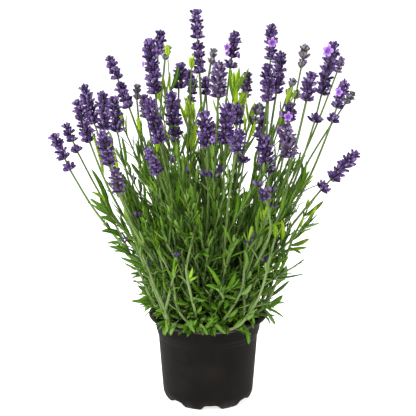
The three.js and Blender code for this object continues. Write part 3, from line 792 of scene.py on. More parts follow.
def lilac_petal():
    look = Finish("lilac_petal", Specular_IOR_Level=0.25, Sheen_Weight=0.3)
    along = look.own("along")
    vein = look.noise(1500.0, 3.0)
    base = look.blend(look.ramp(along, 0.35, 0.95), (112, 60, 158), (184, 136, 218))
    base = look.blend(look.ramp(vein, 0.5, 0.7) * 0.35, base, (206, 172, 232))
    return look.done(base, 0.55 + 0.1 * vein, look.bump(vein, 0.3, 0.0002))


def dry_bract():
    look = Finish("dry_bract", Specular_IOR_Level=0.2)
    vein = look.noise(1200.0, 4.0, (1, 1, 0.3))
    base = look.blend(look.ramp(vein, 0.35, 0.7), (98, 92, 72), (128, 108, 128))
    base = look.blend(look.ramp(look.own("along"), 0.4, 1.0) * 0.6, base, (92, 66, 112))
    return look.done(base, 0.75 + 0.1 * vein, look.bump(vein, 0.5, 0.0002))


LILAC_PETAL = lilac_petal()
DRY_BRACT = dry_bract()

# %% [markdown]
# Most shapes in a plant are an outline that is drawn along a line and grows wider or narrower. In
# Blender that is a circle of points, moved into the outline, then extruded ring by ring. Every ring is
# given as a matrix, which holds its place, its lean and its size.

# %% Drawing an outline along a line
LAYERS = ("tone", "along", "rib", "under")


def blank():
    bm = bmesh.new()
    for name in LAYERS:
        bm.verts.layers.float.new(name)
    return bm


def sweep(bm, outline, rings, slot=0, ribs=(), unders=()):
    """Draw a closed outline through the rings, close both ends, and mark its ribs."""
    layers = bm.verts.layers.float
    ring = bmesh.ops.create_circle(bm, segments=len(outline), radius=1.0)["verts"]
    all_verts = list(ring)
    for vert, (x, y) in zip(ring, outline):
        vert.co = (x, y, 0.0)
    for i in ribs:
        ring[i][layers["rib"]] = 1.0
    for i in unders:
        ring[i][layers["under"]] = 1.0
    edges = list({edge for vert in ring for edge in vert.link_edges})
    bmesh.ops.transform(bm, matrix=rings[0], verts=ring)
    bmesh.ops.edgeloop_fill(bm, edges=edges)
    for k, (before, after) in enumerate(zip(rings, rings[1:])):
        made = bmesh.ops.extrude_edge_only(bm, edges=edges)["geom"]
        ring = [g for g in made if isinstance(g, bmesh.types.BMVert)]
        edges = [g for g in made if isinstance(g, bmesh.types.BMEdge) and g.is_boundary]
        bmesh.ops.transform(bm, matrix=after @ before.inverted(), verts=ring)
        for vert in ring:
            vert[layers["along"]] = (k + 1) / (len(rings) - 1)
        all_verts += ring
    bmesh.ops.edgeloop_fill(bm, edges=edges)
    for face in {face for vert in all_verts for face in vert.link_faces}:
        face.material_index = slot


def spokes(distances):
    """An outline whose points stand round its middle, each at its own distance."""
    turns = [2 * math.pi * k / len(distances) for k in range(len(distances))]
    return [(math.cos(turn) * far, math.sin(turn) * far) for turn, far in zip(turns, distances)]


def to_mesh(bm, name):
    mesh = bpy.data.meshes.new(name)
    bm.to_mesh(mesh)
    bm.free()
    return mesh


def template(bm, name):
    """Keep a small shape as a mesh of its own, to be copied many times."""
    bmesh.ops.recalc_face_normals(bm, faces=bm.faces)
    mesh = to_mesh(bm, name)
    print(name, "faces:", len(mesh.polygons))
    return mesh


def join(bm, part):
    """Put a finished part into a larger piece."""
    mesh = to_mesh(part, "part")
    bm.from_mesh(mesh, face_normals=False, vertex_normals=False)
    bpy.data.meshes.remove(mesh)


def add_copy(bm, mesh, matrix, tone, grey=0.0):
    """One more copy of a small shape, in its own place and tone."""
    first = len(bm.verts)
    bm.from_mesh(mesh, face_normals=False, vertex_normals=False)
    bm.verts.ensure_lookup_table()
    verts = bm.verts[first:]
    bmesh.ops.transform(bm, matrix=matrix, verts=verts)
    tones, unders = (bm.verts.layers.float[name] for name in ("tone", "under"))
    for vert in verts:
        vert[tones] = tone
        vert[unders] = max(vert[unders], grey)


def axes(side, front, along, place):
    """A matrix out of three directions and a place."""
    return Matrix((
        (side[0], front[0], along[0], place[0]),
        (side[1], front[1], along[1], place[1]),
        (side[2], front[2], along[2], place[2]),
        (0.0, 0.0, 0.0, 1.0)))


print("each point carries:", LAYERS)

# %% [markdown]
# A leaf is an outline of six points, with the midrib sunk on top and proud below. It is drawn along an
# arc of length 1, narrow at its root, widest past its middle and blunt at its tip. Real leaves differ
# in how they bend, twist and sway, so a few blades are made, and each leaf takes the one that bends as
# it does.

# %% Blades
BLADE_WIDTH = 0.112
BLADE_DEPTH = 0.9
BLADE_OUTLINE = [(-0.5, -0.08), (-0.27, 0.055), (0.0, 0.0), (0.27, 0.055), (0.5, -0.08), (0.0, -0.1)]
BLADE_SHAPE = [(0.0, 0.3), (0.16, 0.62), (0.4, 0.95), (0.68, 1.0), (0.9, 0.66), (1.0, 0.12)]
SMALL_SHAPE = [(0.0, 0.35), (0.35, 0.95), (0.75, 0.8), (1.0, 0.08)]
BLADE_BENDS = [(-0.9, 0.5, 0.2), (-0.3, -0.5, -0.15), (0.1, 0.3, 0.08), (0.45, -0.4, -0.2),
               (0.9, 0.5, 0.22), (1.5, -0.6, -0.25), (2.1, 0.3, 0.05)]
MIDRIB_POINT, UNDER_POINT = 2, 5
BARK, STEM, LEAF = 0, 1, 2


def blade(shape, bend, twist, sway):
    """A blade whose chord runs up +Z and whose upper face looks to +Y. A positive bend is backwards."""
    bm = blank()
    place, rings, last = Vector((0.0, 0.0, 0.0)), [], 0.0
    for part, width in shape:
        lean = bend * (0.5 - (part + last) / 2)
        place = place + Vector((2 * sway * part, math.sin(lean), math.cos(lean))) * (part - last)
        last = part
        turn = Matrix.Rotation(-bend * (0.5 - part), 4, "X") @ Matrix.Rotation(twist * part, 4, "Z")
        size = BLADE_WIDTH * width
        thickness = Matrix.Diagonal((size, size * BLADE_DEPTH, 1.0, 1.0))
        rings.append(Matrix.Translation(place) @ turn @ thickness)
    sweep(bm, BLADE_OUTLINE, rings, LEAF, ribs=[MIDRIB_POINT], unders=[UNDER_POINT])
    upright = Vector((0, 0, 1)).rotation_difference(place).inverted().to_matrix()
    bmesh.ops.rotate(bm, matrix=upright, verts=bm.verts)
    bmesh.ops.scale(bm, vec=(1, 1, 1 / place.length), verts=bm.verts)
    return template(bm, f"blade_{bend}_{len(shape)}")


BLADES = [blade(BLADE_SHAPE, *bends) for bends in BLADE_BENDS]
SMALL_BLADES = [blade(SMALL_SHAPE, *bends) for bends in BLADE_BENDS]

# %% [markdown]
# To put a blade in place it needs three directions: along the leaf, across it, and out of its upper
# face, which looks up and towards the stem. A leaf that leans out has its upper face on the inside.

# %% Putting leaves on stems
SMALL_LEAF = 17
THIN_LEAF = 2.3


def add_leaf(bm, root, tip, upright, bend, width, tone, grey=0.0):
    """A leaf from its root to its tip. Its upper face turns to the side that upright leans to."""
    along = tip - root
    across = upright.cross(along).normalized()
    face = along.cross(across).normalized()
    matrix = axes(across * width / BLADE_WIDTH, face * along.length, along, root)
    nearest = min(range(len(BLADE_BENDS)), key=lambda i: abs(BLADE_BENDS[i][0] - bend))
    blades = SMALL_BLADES if along.length < SMALL_LEAF or width < THIN_LEAF else BLADES
    add_copy(bm, blades[nearest], matrix, tone, grey)


print("small blades for leaves under", SMALL_LEAF, "mm long or", THIN_LEAF, "mm wide")

# %% [markdown]
# The stem itself is a square with its corners softened and its sides slightly hollow, drawn along a
# smooth curve through the solid's corners. It gets thinner on the way up.

# %% Stems
STEM_OUTLINE = [(1, 1), (0, 0.78), (-1, 1), (-0.78, 0), (-1, -1), (0, -0.78), (1, -1), (0.78, 0)]
STEM_RIBS = (0, 2, 4, 6)
CURVE_STEPS = 5


def rings_along(points, sizes):
    """Matrices for an outline that follows a line without twisting."""
    rings = []
    side = Vector((0, 1, 0)).cross(points[1] - points[0]).normalized()
    for i, (point, size) in enumerate(zip(points, sizes)):
        along = (points[min(i + 1, len(points) - 1)] - points[max(i - 1, 0)]).normalized()
        side = (side - along * side.dot(along)).normalized()
        rings.append(axes(side * size, along.cross(side) * size, along, point))
    return rings


def smooth_line(points, steps):
    """More points between the given ones, on a curve through all of them."""
    line = []
    for i in range(len(points) - 1):
        a, b = points[max(i - 1, 0)], points[i]
        c, d = points[i + 1], points[min(i + 2, len(points) - 1)]
        for k in range(steps):
            t = k / steps
            line.append(0.5 * ((2 * b) + (c - a) * t + (2 * a - 5 * b + 4 * c - d) * t * t
                               + (3 * b - a - 3 * c + d) * t ** 3))
    return line + [points[-1]]


def add_stem(bm, points, thickness, slot=STEM):
    """A square stem along a line, from one thickness to another."""
    count = len(points) - 1
    sizes = [mix(thickness, i / count) for i in range(count + 1)]
    sweep(bm, STEM_OUTLINE, rings_along(points, sizes), slot=slot, ribs=STEM_RIBS)


for stem in stems:
    stem["curve"] = smooth_line(stem["corners"], CURVE_STEPS)
print("points on a stem:", len(stems[0]["curve"]))

# %% [markdown]
# Between the main stems a real plant is full of short leafy side shoots. They are too many and too
# small to be solids of their own. They start from the same woody feet and fan out, and their tips fill
# the outline that the foliage has in the photograph: narrow at the rim, wide at half height, then open
# between the flower spikes. Low shoots lean out over the rim all round.

# %% Side shoots
SHOOT_SEED = 11
SIDE_SHOOTS = 13
SIDE_ARC = 1.1
FOLIAGE_LOW, FOLIAGE_HIGH = 132, 285
FOLIAGE_RADIUS = (56, 104)
WIDENS_OVER = 90
HEIGHT_BIAS = 0.75
HIGH_FROM = 215
# how far out a shoot goes at least, and how much may be added: parts of the foliage's radius
MIDDLE_REACH, RING_REACH = (0.2, 0.45), (0.5, 0.5)
ROOT_CIRCLE = 4
SHOOT_POINTS = 7
LIFT = 7
# how each kind bends (over 1 it goes up first, under 1 out first), and how deep in the crown it starts
SHOOT_KINDS = {"side": (1.35, 3), "high": (1.35, 3), "low": (0.9, 2), "rim": (0.95, 2), "fringe": (0.95, 2),
               "wild": (0.85, 3), "bright": (1.3, 3), "budding": (1.3, 3)}
RING_SHOOTS = 15
# how loosely the tips of a ring are spaced, then their distance and height with what may be added
SHOOT_RINGS = {"low": (0.6, (50, 20), (106, 30)), "rim": (0.7, (46, 14), (99, 14))}
FRINGE_TIPS = [(-44, -46, 103), (-33, -54, 103), (-21, -59, 101), (-9, -61, 103), (4, -61, 101),
               (17, -59, 103), (30, -54, 102)]


def polar(turn, radius, z):
    return Vector((math.cos(turn) * radius, math.sin(turn) * radius, z))


def draw(random, pair):
    """A number from the first of a pair up to the second one more."""
    return pair[0] + pair[1] * random()


def nearest_foot(place):
    return min(clumps[1:], key=lambda c: (c["place"][0] - place.x) ** 2 + (c["place"][1] - place.y) ** 2)


def crown_line(kind, foot, tip, beside=(0, 0, 0)):
    """Points of a shoot, from a foot or a little beside its middle to the tip."""
    rise_first, depth = SHOOT_KINDS[kind]
    root = Vector((*foot["place"], CROWN_TOP - depth)) + Vector(beside)
    span = tip - root
    points = []
    for k in range(SHOOT_POINTS):
        part = k / (SHOOT_POINTS - 1)
        out = part ** rise_first
        lift = LIFT * math.sin(math.pi * part) if rise_first < 1 else 0
        points.append(root + Vector((span.x * out, span.y * out, span.z * part + lift)))
    return points


def add_shoot(kind, foot, points):
    side_shoots.append({"kind": kind, "clump": foot, "points": points})


def add_to_tips(kind, tips):
    for tip in map(Vector, tips):
        foot = nearest_foot(tip)
        add_shoot(kind, foot, crown_line(kind, foot, tip))


def fill_clump(clump, random):
    """Shoots from one foot: all round from the middle one, outwards from the others."""
    x, y = clump["place"]
    middle = clump is clumps[0]
    for i in range(SIDE_SHOOTS):
        if middle:
            turn = 2 * math.pi * (i + random()) / SIDE_SHOOTS
        else:
            turn = math.atan2(y, x) + SIDE_ARC * (2 * random() - 1)
        z = FOLIAGE_LOW + (FOLIAGE_HIGH - FOLIAGE_LOW) * random() ** HEIGHT_BIAS
        widest = mix(FOLIAGE_RADIUS, min((z - FOLIAGE_LOW) / WIDENS_OVER, 1))
        reach = widest * draw(random, MIDDLE_REACH if middle else RING_REACH)
        beside = polar(random() * 2 * math.pi, ROOT_CIRCLE, 0)
        kind = "side" if z < HIGH_FROM else "high"
        add_shoot(kind, clump, crown_line(kind, clump, polar(turn, reach, z), beside))


def ring_tips(loose, distance, height, random):
    return [polar(2 * math.pi * (i + loose * random()) / RING_SHOOTS, draw(random, distance),
                  draw(random, height)) for i in range(RING_SHOOTS)]


side_shoots = []
shoot_random = make_random(SHOOT_SEED)
for clump in clumps:
    fill_clump(clump, shoot_random)
for kind, ring in SHOOT_RINGS.items():
    add_to_tips(kind, ring_tips(*ring, shoot_random))
add_to_tips("fringe", FRINGE_TIPS)
print("side shoots:", len(side_shoots))

# %% [markdown]
# The other shoots bring some disorder. A few thick pale stems bow out over the rim and rise, wild ones
# sway as they go, and bright young shoots stand up between the spikes, at places that are read from the
# photograph.

# %% Bowed, wild and bright shoots
ANY_PHASE = 6
BOWED_STEMS = 12
LOOSE = 0.5
LIP_CROSSING = 102.5
BOWED_LEVELS = [(33, 92), (45, 96), (57, 102.5), (64, 117), (70, 138), (78, 164), (84, 192)]
BOWED_DRIFT = 0.8
BOWED_RISE = (0.8, 0.5)
SWAY, SWAY_STEP = 0.06, 1.7
RIPPLE, RIPPLE_STEP = 2, 2
WILD_SHOOTS = 14
WILD_ASIDE = (0.5, 0.5)
WILD_RADIUS = (62, 26)
WILD_HEIGHT = (128, 62)
WAVE, WAVE_STEP = 3, 1.6
BRIGHT_TIPS = [(-70, 0, 295), (-15, -10, 308), (84, 30, 270), (36, 20, 313), (98, 0, 232), (-52, 60, 318),
               (12, 84, 322)]
BUDDING_TIPS = [(-41, -14, 375), (-17, -12, 362)]


def add_bowed(random):
    """Stems that cross the lip and rise outside it."""
    for i in range(BOWED_STEMS):
        turn = -math.pi / 2 + 2 * math.pi * (i + LOOSE * random()) / BOWED_STEMS
        drift = BOWED_DRIFT * (random() - 0.5)
        rise, phase = draw(random, BOWED_RISE), ANY_PHASE * random()
        points = []
        for k, (radius, z) in enumerate(BOWED_LEVELS):
            at = turn + drift * k / (len(BOWED_LEVELS) - 1) + SWAY * math.sin(SWAY_STEP * k + phase)
            out = radius + RIPPLE * math.sin(RIPPLE_STEP * k + phase)
            height = LIP_CROSSING + (z - LIP_CROSSING) * (rise if z > LIP_CROSSING else 1)
            points.append(polar(at, out, height))
        add_shoot("bowed", nearest_foot(points[0]), points)


def add_wild(random):
    """Shoots that turn aside and wave in and out."""
    for i in range(WILD_SHOOTS):
        turn = 2 * math.pi * (i + LOOSE * random()) / WILD_SHOOTS
        foot = nearest_foot(polar(turn, RING_RADIUS, 0))
        aside = draw(random, WILD_ASIDE) * (1 if i % 2 else -1)
        tip = polar(turn + aside, draw(random, WILD_RADIUS), draw(random, WILD_HEIGHT))
        phase = ANY_PHASE * random()
        first, *rest = crown_line("wild", foot, tip)
        waved = [point + polar(turn, WAVE * math.sin(WAVE_STEP * k + phase), 0)
                 for k, point in enumerate(rest)]
        add_shoot("wild", foot, [first] + waved)


add_bowed(shoot_random)
add_wild(shoot_random)
add_to_tips("bright", BRIGHT_TIPS)
add_to_tips("budding", BUDDING_TIPS)
print("side shoots with these:", len(side_shoots))

# %% [markdown]
# Up each shoot the leaves get shorter, finer and stand closer to it. Two small leaves often sit in the
# angle between a leaf and its stem. Low in the plant the leaves are broad, they bend every way, and
# many turn their grey side outwards. At the top of a shoot the youngest leaves make a little tuft.

# %% Leaves up a stem
OVER_LIP = 68.5
LOWEST_TIP = 88
RIM_ROOM = 1.5
UP = Vector((0, 0, 1))
GOLDEN_TURN = 2.4
TUFT_SPREAD, TUFT_BEND, TUFT_TONE = (0.1, 0.32), 0.5, 0.15
TUFT_VARY = (0.25, 0.2)
FIRST_LEAF = 4
LEAF_VARY = {"length": 0.28, "width": 0.25, "spread": 0.35, "step": 0.2}
TONE_RANGE = 0.5
BENT_BACK = 0.35
MOST_GREY = 0.9
LEAN_RANGE = 0.7
PAIR_RANGE = 0.4
AXIL_TURN, AXIL_SPREAD, AXIL_BEND = 0.4, 0.5, 0.3
AXIL_LENGTH, AXIL_WIDTH, AXIL_TONE = 0.42, 0.6, 0.15


def clear_of_lip(point):
    """A leaf may also reach out over the lip, but it doesn't hang far below it."""
    radius = math.hypot(point.x, point.y)
    over = point.z > (LOWEST_TIP if radius > OVER_LIP else POT_HEIGHT + RIM_ROOM)
    return clear_of_pot(point) or over


def leaf_from(bm, root, along, turn, spread, bend, length, width, tone, grey=0.0):
    """A leaf that leaves a stem at an angle to it. A turn of 0 or half a round is level."""
    level = UP.cross(along).normalized()
    out = level * math.cos(turn) + along.cross(level) * math.sin(turn)
    tip = root + (along * math.cos(spread) + out * math.sin(spread)) * length
    if clear_of_lip(tip):
        add_leaf(bm, root, tip, (along + UP).normalized(), bend, width, tone, grey)


def add_tuft(bm, tip, along, random, habit):
    count, length, width, tone = habit["tuft"]
    for i in range(count):
        turn, spread = i * GOLDEN_TURN + random(), draw(random, TUFT_SPREAD)
        bend = TUFT_BEND * random()
        long, wide = length * vary(random, TUFT_VARY[0]), width * vary(random, TUFT_VARY[1])
        leaf_from(bm, tip, along, turn, spread, bend, long, wide, tone + TUFT_TONE * random())


def add_leaf_pair(bm, root, along, turn, up, random, habit):
    """Two leaves that face each other, with a small one in the angle of some of them."""

    def varied(value):
        return mix(habit[value], up) * vary(random, LEAF_VARY[value])

    tone = mix(habit["tone"], up) + TONE_RANGE * (random() - 0.5)
    for side in (0, math.pi):
        length, width = varied("length"), varied("width")
        spread = math.radians(mix(habit["spread"], up)) * vary(random, LEAF_VARY["spread"])
        bend = mix(habit["bend"], up) * (random() - BENT_BACK)
        grey = MOST_GREY * random() if random() < mix(habit["grey"], up) else 0.0
        lean = turn + side + LEAN_RANGE * (random() - 0.5)
        leaf_from(bm, root, along, lean, spread, bend, length, width, tone, grey)
        if random() < habit["axil"]:
            leaf_from(bm, root, along, lean + AXIL_TURN, spread * AXIL_SPREAD, AXIL_BEND,
                      length * AXIL_LENGTH, width * AXIL_WIDTH, tone + AXIL_TONE)


def add_leaves(bm, points, random, habit):
    """Pairs of leaves up a line of points, from one part of its length to another, and a tuft."""
    spans = [(b - a).length for a, b in zip(points, points[1:])]
    first, last = (sum(spans) * part for part in habit["run"])
    turn, done = random() * math.pi, first + FIRST_LEAF * random()
    while done < last:
        left = done
        for a, b, span in zip(points, points[1:], spans):
            if left <= span:
                break
            left -= span
        root = a.lerp(b, min(left / span, 1.0))
        up = done / last
        add_leaf_pair(bm, root, (b - a).normalized(), turn, up, random, habit)
        done += mix(habit["step"], up) * vary(random, LEAF_VARY["step"])
        turn += math.pi / 2 + PAIR_RANGE * (random() - 0.5)
    add_tuft(bm, points[-1], (points[-1] - points[-2]).normalized(), random, habit)


print("golden turn in degrees:", round(math.degrees(GOLDEN_TURN)))

# %% [markdown]
# The shoots and stems differ in how they grow, so each kind has its own habit. Most of its values are
# pairs, one for the leaves low on the stem and one for those at its top, in millimetres or degrees. The
# run is the part of the stem that carries leaves, and the tuft is given as the number of its leaves,
# their length, width and tone.

# %% Habits
HABIT_VALUES = ("run", "length", "width", "spread", "bend", "step", "tone", "grey", "axil", "tuft")
HABITS = {kind: dict(zip(HABIT_VALUES, values)) for kind, *values in [
    ("flowering", (0.05, 0.64), (25, 20), (4.6, 2.4), (40, 11), (2.8, 0.8), (26, 15), (0.2, 0.5), (0.4, 0.02),
     0.12, (0, 0, 0, 0)),
    ("leafy", (0.05, 0.97), (30, 21), (5.0, 2.8), (42, 18), (2.8, 0.8), (24, 9), (0.15, 0.5), (0.35, 0.0),
     0.25, (4, 14, 3.2, 0.5)),
    ("side", (0.32, 0.98), (29, 24), (6.2, 4.4), (56, 27), (3.0, 1.8), (19, 12), (0.1, 0.55), (0.35, 0.05),
     0.12, (4, 18, 3.8, 0.6)),
    ("high", (0.3, 0.98), (27, 19), (4.0, 2.8), (34, 16), (1.6, 0.8), (16, 11), (0.1, 0.5), (0.1, 0.0),
     0.06, (4, 17, 2.8, 0.65)),
    ("low", (0.3, 0.98), (25, 23), (7.2, 6.0), (62, 46), (3.4, 2.8), (15, 11), (0.3, 0.65), (0.5, 0.35),
     0.2, (4, 16, 4.6, 0.7)),
    ("rim", (0.35, 0.99), (22, 20), (6.8, 5.8), (64, 66), (3.4, 3.2), (13, 9), (0.35, 0.7), (0.4, 0.35),
     0.2, (3, 16, 5.0, 0.7)),
    ("fringe", (0.5, 0.99), (20, 18), (6.6, 5.6), (54, 46), (3.4, 3.2), (12, 9), (0.1, 0.45), (0.7, 0.6),
     0.3, (4, 14, 4.8, 0.3)),
    ("bowed", (0.18, 0.98), (26, 24), (6.0, 4.2), (42, 20), (2.8, 1.4), (26, 14), (0.5, 0.6), (0.8, 0.2),
     0.4, (4, 18, 3.4, 0.85)),
    ("wild", (0.3, 0.98), (24, 22), (6.4, 4.6), (54, 34), (3.4, 2.6), (18, 11), (0.3, 0.65), (0.6, 0.25),
     0.25, (4, 16, 3.8, 0.7)),
    ("flank", (0.9, 0.98), (16, 14), (4.4, 3.4), (40, 24), (2.0, 1.2), (14, 11), (0.5, 0.8), (0.1, 0.0),
     0.0, (4, 14, 3.2, 0.9)),
    ("lip", (0.3, 0.98), (20, 18), (4.6, 3.6), (46, 26), (2.8, 1.6), (30, 18), (0.5, 0.7), (0.8, 0.3),
     0.3, (4, 14, 3.2, 0.8)),
    ("budding", (0.68, 0.95), (24, 18), (3.4, 2.4), (22, 14), (1.2, 0.6), (30, 26), (0.5, 0.9), (0.0, 0.0),
     0.2, (7, 12, 3.4, 1.6)),
    ("bright", (0.3, 0.99), (28, 24), (3.4, 3.2), (34, 22), (1.6, 0.8), (22, 14), (0.25, 0.85), (0.2, 0.0),
     0.05, (4, 22, 3.6, 0.95)),
]}
print("habits:", list(HABITS))

# %% [markdown]
# Some leaves are easy to pick out in the photograph: along both flanks, over the lip, between the
# upper stems, and at the front. They are listed one by one by their ends in millimetres, width, tone
# and, where they show any, grey. Each starts on the nearest of the shoots and stems, and its broad side
# faces the viewer. Two shoots at the flanks and five stems at the front are listed by their points.

# %% Leaves that stand out
FRONT_STEMS = [
    [(-36, -36, 96), (-42, -52, 103), (-50, -58, 126), (-58, -62, 149), (-66, -64, 172), (-73, -64, 192),
     (-81, -62, 215)],
    [(-30, -38, 95), (-39, -54, 100), (-46, -60, 123), (-53, -64, 142), (-61, -66, 166), (-68, -66, 185)],
    [(-8, -36, 95), (-3, -48, 104), (6, -60, 101), (19, -65, 99), (33, -64, 104), (43, -64, 118),
     (52, -68, 135), (58, -72, 158), (62, -76, 180), (67, -78, 201)],
    [(-12, -38, 95), (-13, -58, 116), (-18, -70, 142), (-22, -78, 168), (-18, -80, 189), (-12, -80, 215)],
    [(-34, -38, 95), (-44, -56, 115), (-41, -62, 131), (-38, -68, 146), (-35, -74, 159)],
]
FLANK_SHOOTS = [
    [(-38, -14, 92), (-58, -18, 110), (-72, -8, 140), (-82, -12, 160), (-92, -8, 182), (-101, -6, 200),
     (-108, -8, 220)],
    [(40, -16, 92), (60, -20, 108), (73, -18, 134), (82, -18, 160), (89, -15, 180), (98, -8, 197),
     (106, -4, 212)],
]
STANDING_OUT = [
    # the left flank, from the top
    ((-107, -10, 220), (-123, -13, 234), 4.1, 0.8), ((-104, -5, 214), (-121, -8, 259), 5.4, 0.25),
    ((-102, 0, 201), (-131, -3, 223), 2.7, 0.3, 0.8), ((-100, -15, 195), (-117, -18, 206), 6.6, 0.45),
    ((-90, -10, 183), (-112, -13, 192), 7.1, 0.2), ((-90, -5, 175), (-107, -8, 178), 4.1, 0.5),
    ((-81, -15, 163), (-104, -18, 176), 5.6, 0.4), ((-95, 0, 159), (-115, -3, 170), 2.2, 0.4, 0.8),
    ((-75, -20, 152), (-93, -23, 166), 6.3, 0.6), ((-71, -5, 140), (-84, -8, 142), 4.1, 0.3),
    ((-70, 5, 134), (-87, 2, 133), 3.9, 0.3, 0.2), ((-63, -5, 121), (-76, -8, 122), 2.9, 0.5, 0.2),
    ((-64, -5, 119), (-78, -8, 112), 3.4, 0.3, 0.3), ((-60, -15, 112), (-72, -18, 111), 5.4, 0.4),
    ((-58, -20, 112), (-68, -23, 105), 5.4, 0.7),
    ((-46, -8, 340), (-37, -12, 365), 5.4, 0.15),
    # the right flank, from the top
    ((112, 5, 225), (113, 2, 258), 4.4, 0.2), ((98, 0, 207), (118, -3, 224), 4.8, 0.6),
    ((83, -20, 179), (83, -23, 204), 4.6, 1.2), ((89, -15, 182), (104, -18, 202), 4.6, 0.95),
    ((99, -10, 191), (105, -13, 206), 3.4, 1.2), ((100, -10, 188), (115, -13, 190), 2.6, 1.3),
    ((85, -15, 177), (105, -18, 185), 5.2, 0.8), ((86, -15, 173), (103, -18, 175), 3.2, 0.3),
    ((90, -15, 172), (103, -18, 166), 3.2, 0.35), ((80, -25, 151), (77, -28, 185), 5.4, 0.15),
    ((77, -20, 135), (87, -23, 154), 7.6, 0.5, 0.95), ((66, -15, 115), (90, -18, 136), 4.0, 0.2, 0.1),
    ((60, -25, 109), (80, -28, 123), 7.2, 0.6), ((62, -15, 108), (76, -18, 104), 2.4, 0.5),
    # over the lip
    ((54, -28, 112), (67, -31, 94), 3.8, 0.35, 0.4), ((53, -36, 112), (58, -40, 95), 3.4, 0.55, 0.1),
    ((-41, -62, 112), (-53, -65, 118), 5.6, 0.8), ((-27, -66, 108), (-17, -73, 118), 6.4, 0.7),
    ((-45, -54, 106), (-43, -70, 98), 3.6, 0.8), ((-33, -54, 105), (-39, -71, 97), 4.6, 0.5, 0.9),
    ((-23, -56, 105), (-14, -72, 97), 4.6, 0.6, 0.2), ((-5, -58, 105), (4, -73, 98), 4.4, 0.55, 0.6),
    ((6, -56, 106), (19, -70, 99), 5.2, 0.6, 0.3), ((25, -56, 106), (33, -69, 100), 4.8, 0.7, 0.1),
    ((-12, -62, 110), (-5, -68, 121), 5.0, 0.7), ((14, -60, 112), (26, -66, 123), 5.2, 0.6, 0.2),
    ((33, -58, 115), (43, -64, 125), 5.4, 0.5, 0.6), ((46, -46, 108), (57, -54, 103), 4.6, 0.5, 0.3),
    ((-53, -42, 106), (-63, -50, 101), 4.2, 0.6, 0.5),
    # tall ones between the stems
    ((-108, -22, 251), (-118, -25, 299), 4.4, 0.8), ((-88, -34, 250), (-94, -37, 294), 5.0, 0.9),
    ((-71, -20, 280), (-72, -23, 315), 4.2, 1.1), ((-83, -20, 259), (-86, -23, 293), 3.6, 0.6),
    ((95, -10, 235), (102, -13, 268), 3.6, 0.6), ((34, 0, 292), (40, -3, 311), 4.2, 0.9),
    ((-52, -20, 280), (-46, -23, 309), 3.8, 0.8), ((-13, -10, 278), (-8, -13, 312), 4.2, 0.9),
    ((12, 0, 310), (19, -3, 344), 4.4, 0.9), ((14, 0, 317), (29, -3, 338), 4.0, 0.8),
    ((23, 8, 326), (30, 5, 363), 4.6, 0.8), ((25, 8, 328), (42, 5, 362), 2.8, 0.7),
    ((24, 8, 334), (29, 5, 354), 4.4, 1.3), ((26, 8, 329), (37, 5, 352), 3.0, 0.9),
    ((-59, -45, 227), (-68, -48, 262), 5.0, 0.3), ((55, -50, 207), (50, -53, 244), 5.0, 0.4),
    ((77, -35, 214), (82, -38, 245), 4.6, 0.7), ((-33, -60, 220), (-28, -63, 257), 4.6, 0.6),
    ((2, -60, 220), (-6, -63, 255), 4.8, 0.35), ((24, -60, 210), (30, -63, 245), 4.8, 0.5),
    # the front
    ((-19, -85, 154), (-14, -88, 168), 3.6, 1.1), ((-20, -85, 153), (-10, -88, 158), 3.4, 0.9),
    ((-20, -72, 133), (-5, -75, 130), 4.4, 0.6, 0.5), ((-22, -84, 147), (-24, -87, 164), 6.0, 0.4, 0.9),
    ((-36, -80, 150), (-42, -83, 164), 4.6, 0.5, 0.2), ((14, -80, 145), (-2, -83, 155), 5.6, 0.5),
    ((28, -84, 149), (14, -87, 179), 4.6, 0.75), ((32, -78, 136), (44, -81, 148), 6.0, 0.5, 0.85),
]
TOWARDS_VIEWER = Vector((0, -0.8, 0.6))
HANGING_BEND, STANDING_BEND = 2.1, 0.8
HANGS_BY = 5


def nearest_growth(place):
    """The nearest point of all shoots and leafy stems."""
    lines = [shoot["points"] for shoot in side_shoots] + [stem["curve"] for stem in stems]
    spans = [(a, b) for line in lines for a, b in zip(line, line[1:])]
    found = [intersect_point_line(place, a, b) for a, b in spans]
    on_lines = [a.lerp(b, min(max(part, 0.0), 1.0)) for (a, b), (_, part) in zip(spans, found)]
    return min(on_lines, key=lambda point: (point - place).length)


def add_standing_out(bm, clump):
    for root, tip, *look in STANDING_OUT:
        root, tip = Vector(root), Vector(tip)
        if nearest_foot(root) is clump:
            bend = HANGING_BEND if tip.z < root.z - HANGS_BY else STANDING_BEND
            start = nearest_growth(root)
            add_leaf(bm, start, tip + start - root, TOWARDS_VIEWER, bend, *look)


for kind, lines in (("flank", FLANK_SHOOTS), ("lip", FRONT_STEMS)):
    for line in lines:
        points = [Vector(place) for place in line]
        add_shoot(kind, nearest_foot(points[0]), points)
print("leaves that stand out:", len(STANDING_OUT))

# %% [markdown]
# A foot is a short gnarled trunk that splits into a few woody branches, the more the more stems it
# carries. The outline of a branch is a rough ring of eight points, and no two branches have the same.

# %% Woody feet
LEAST_BRANCHES, STEMS_PER_BRANCH = 3, 3
BRANCH_STEPS = 5
BRANCH_SPREAD = 0.6
BRANCH_DEPTH, BRANCH_OUT, BRANCH_RISE = 4, 3, 8
BRANCH_ROOT, BRANCH_TIP = 0.42, 1.3
BRANCH_VARY = 0.14
BARK_CORNERS, BARK_VARY = 8, 0.16


def branch_count(clump):
    return LEAST_BRANCHES + len(clump["stems"]) // STEMS_PER_BRANCH


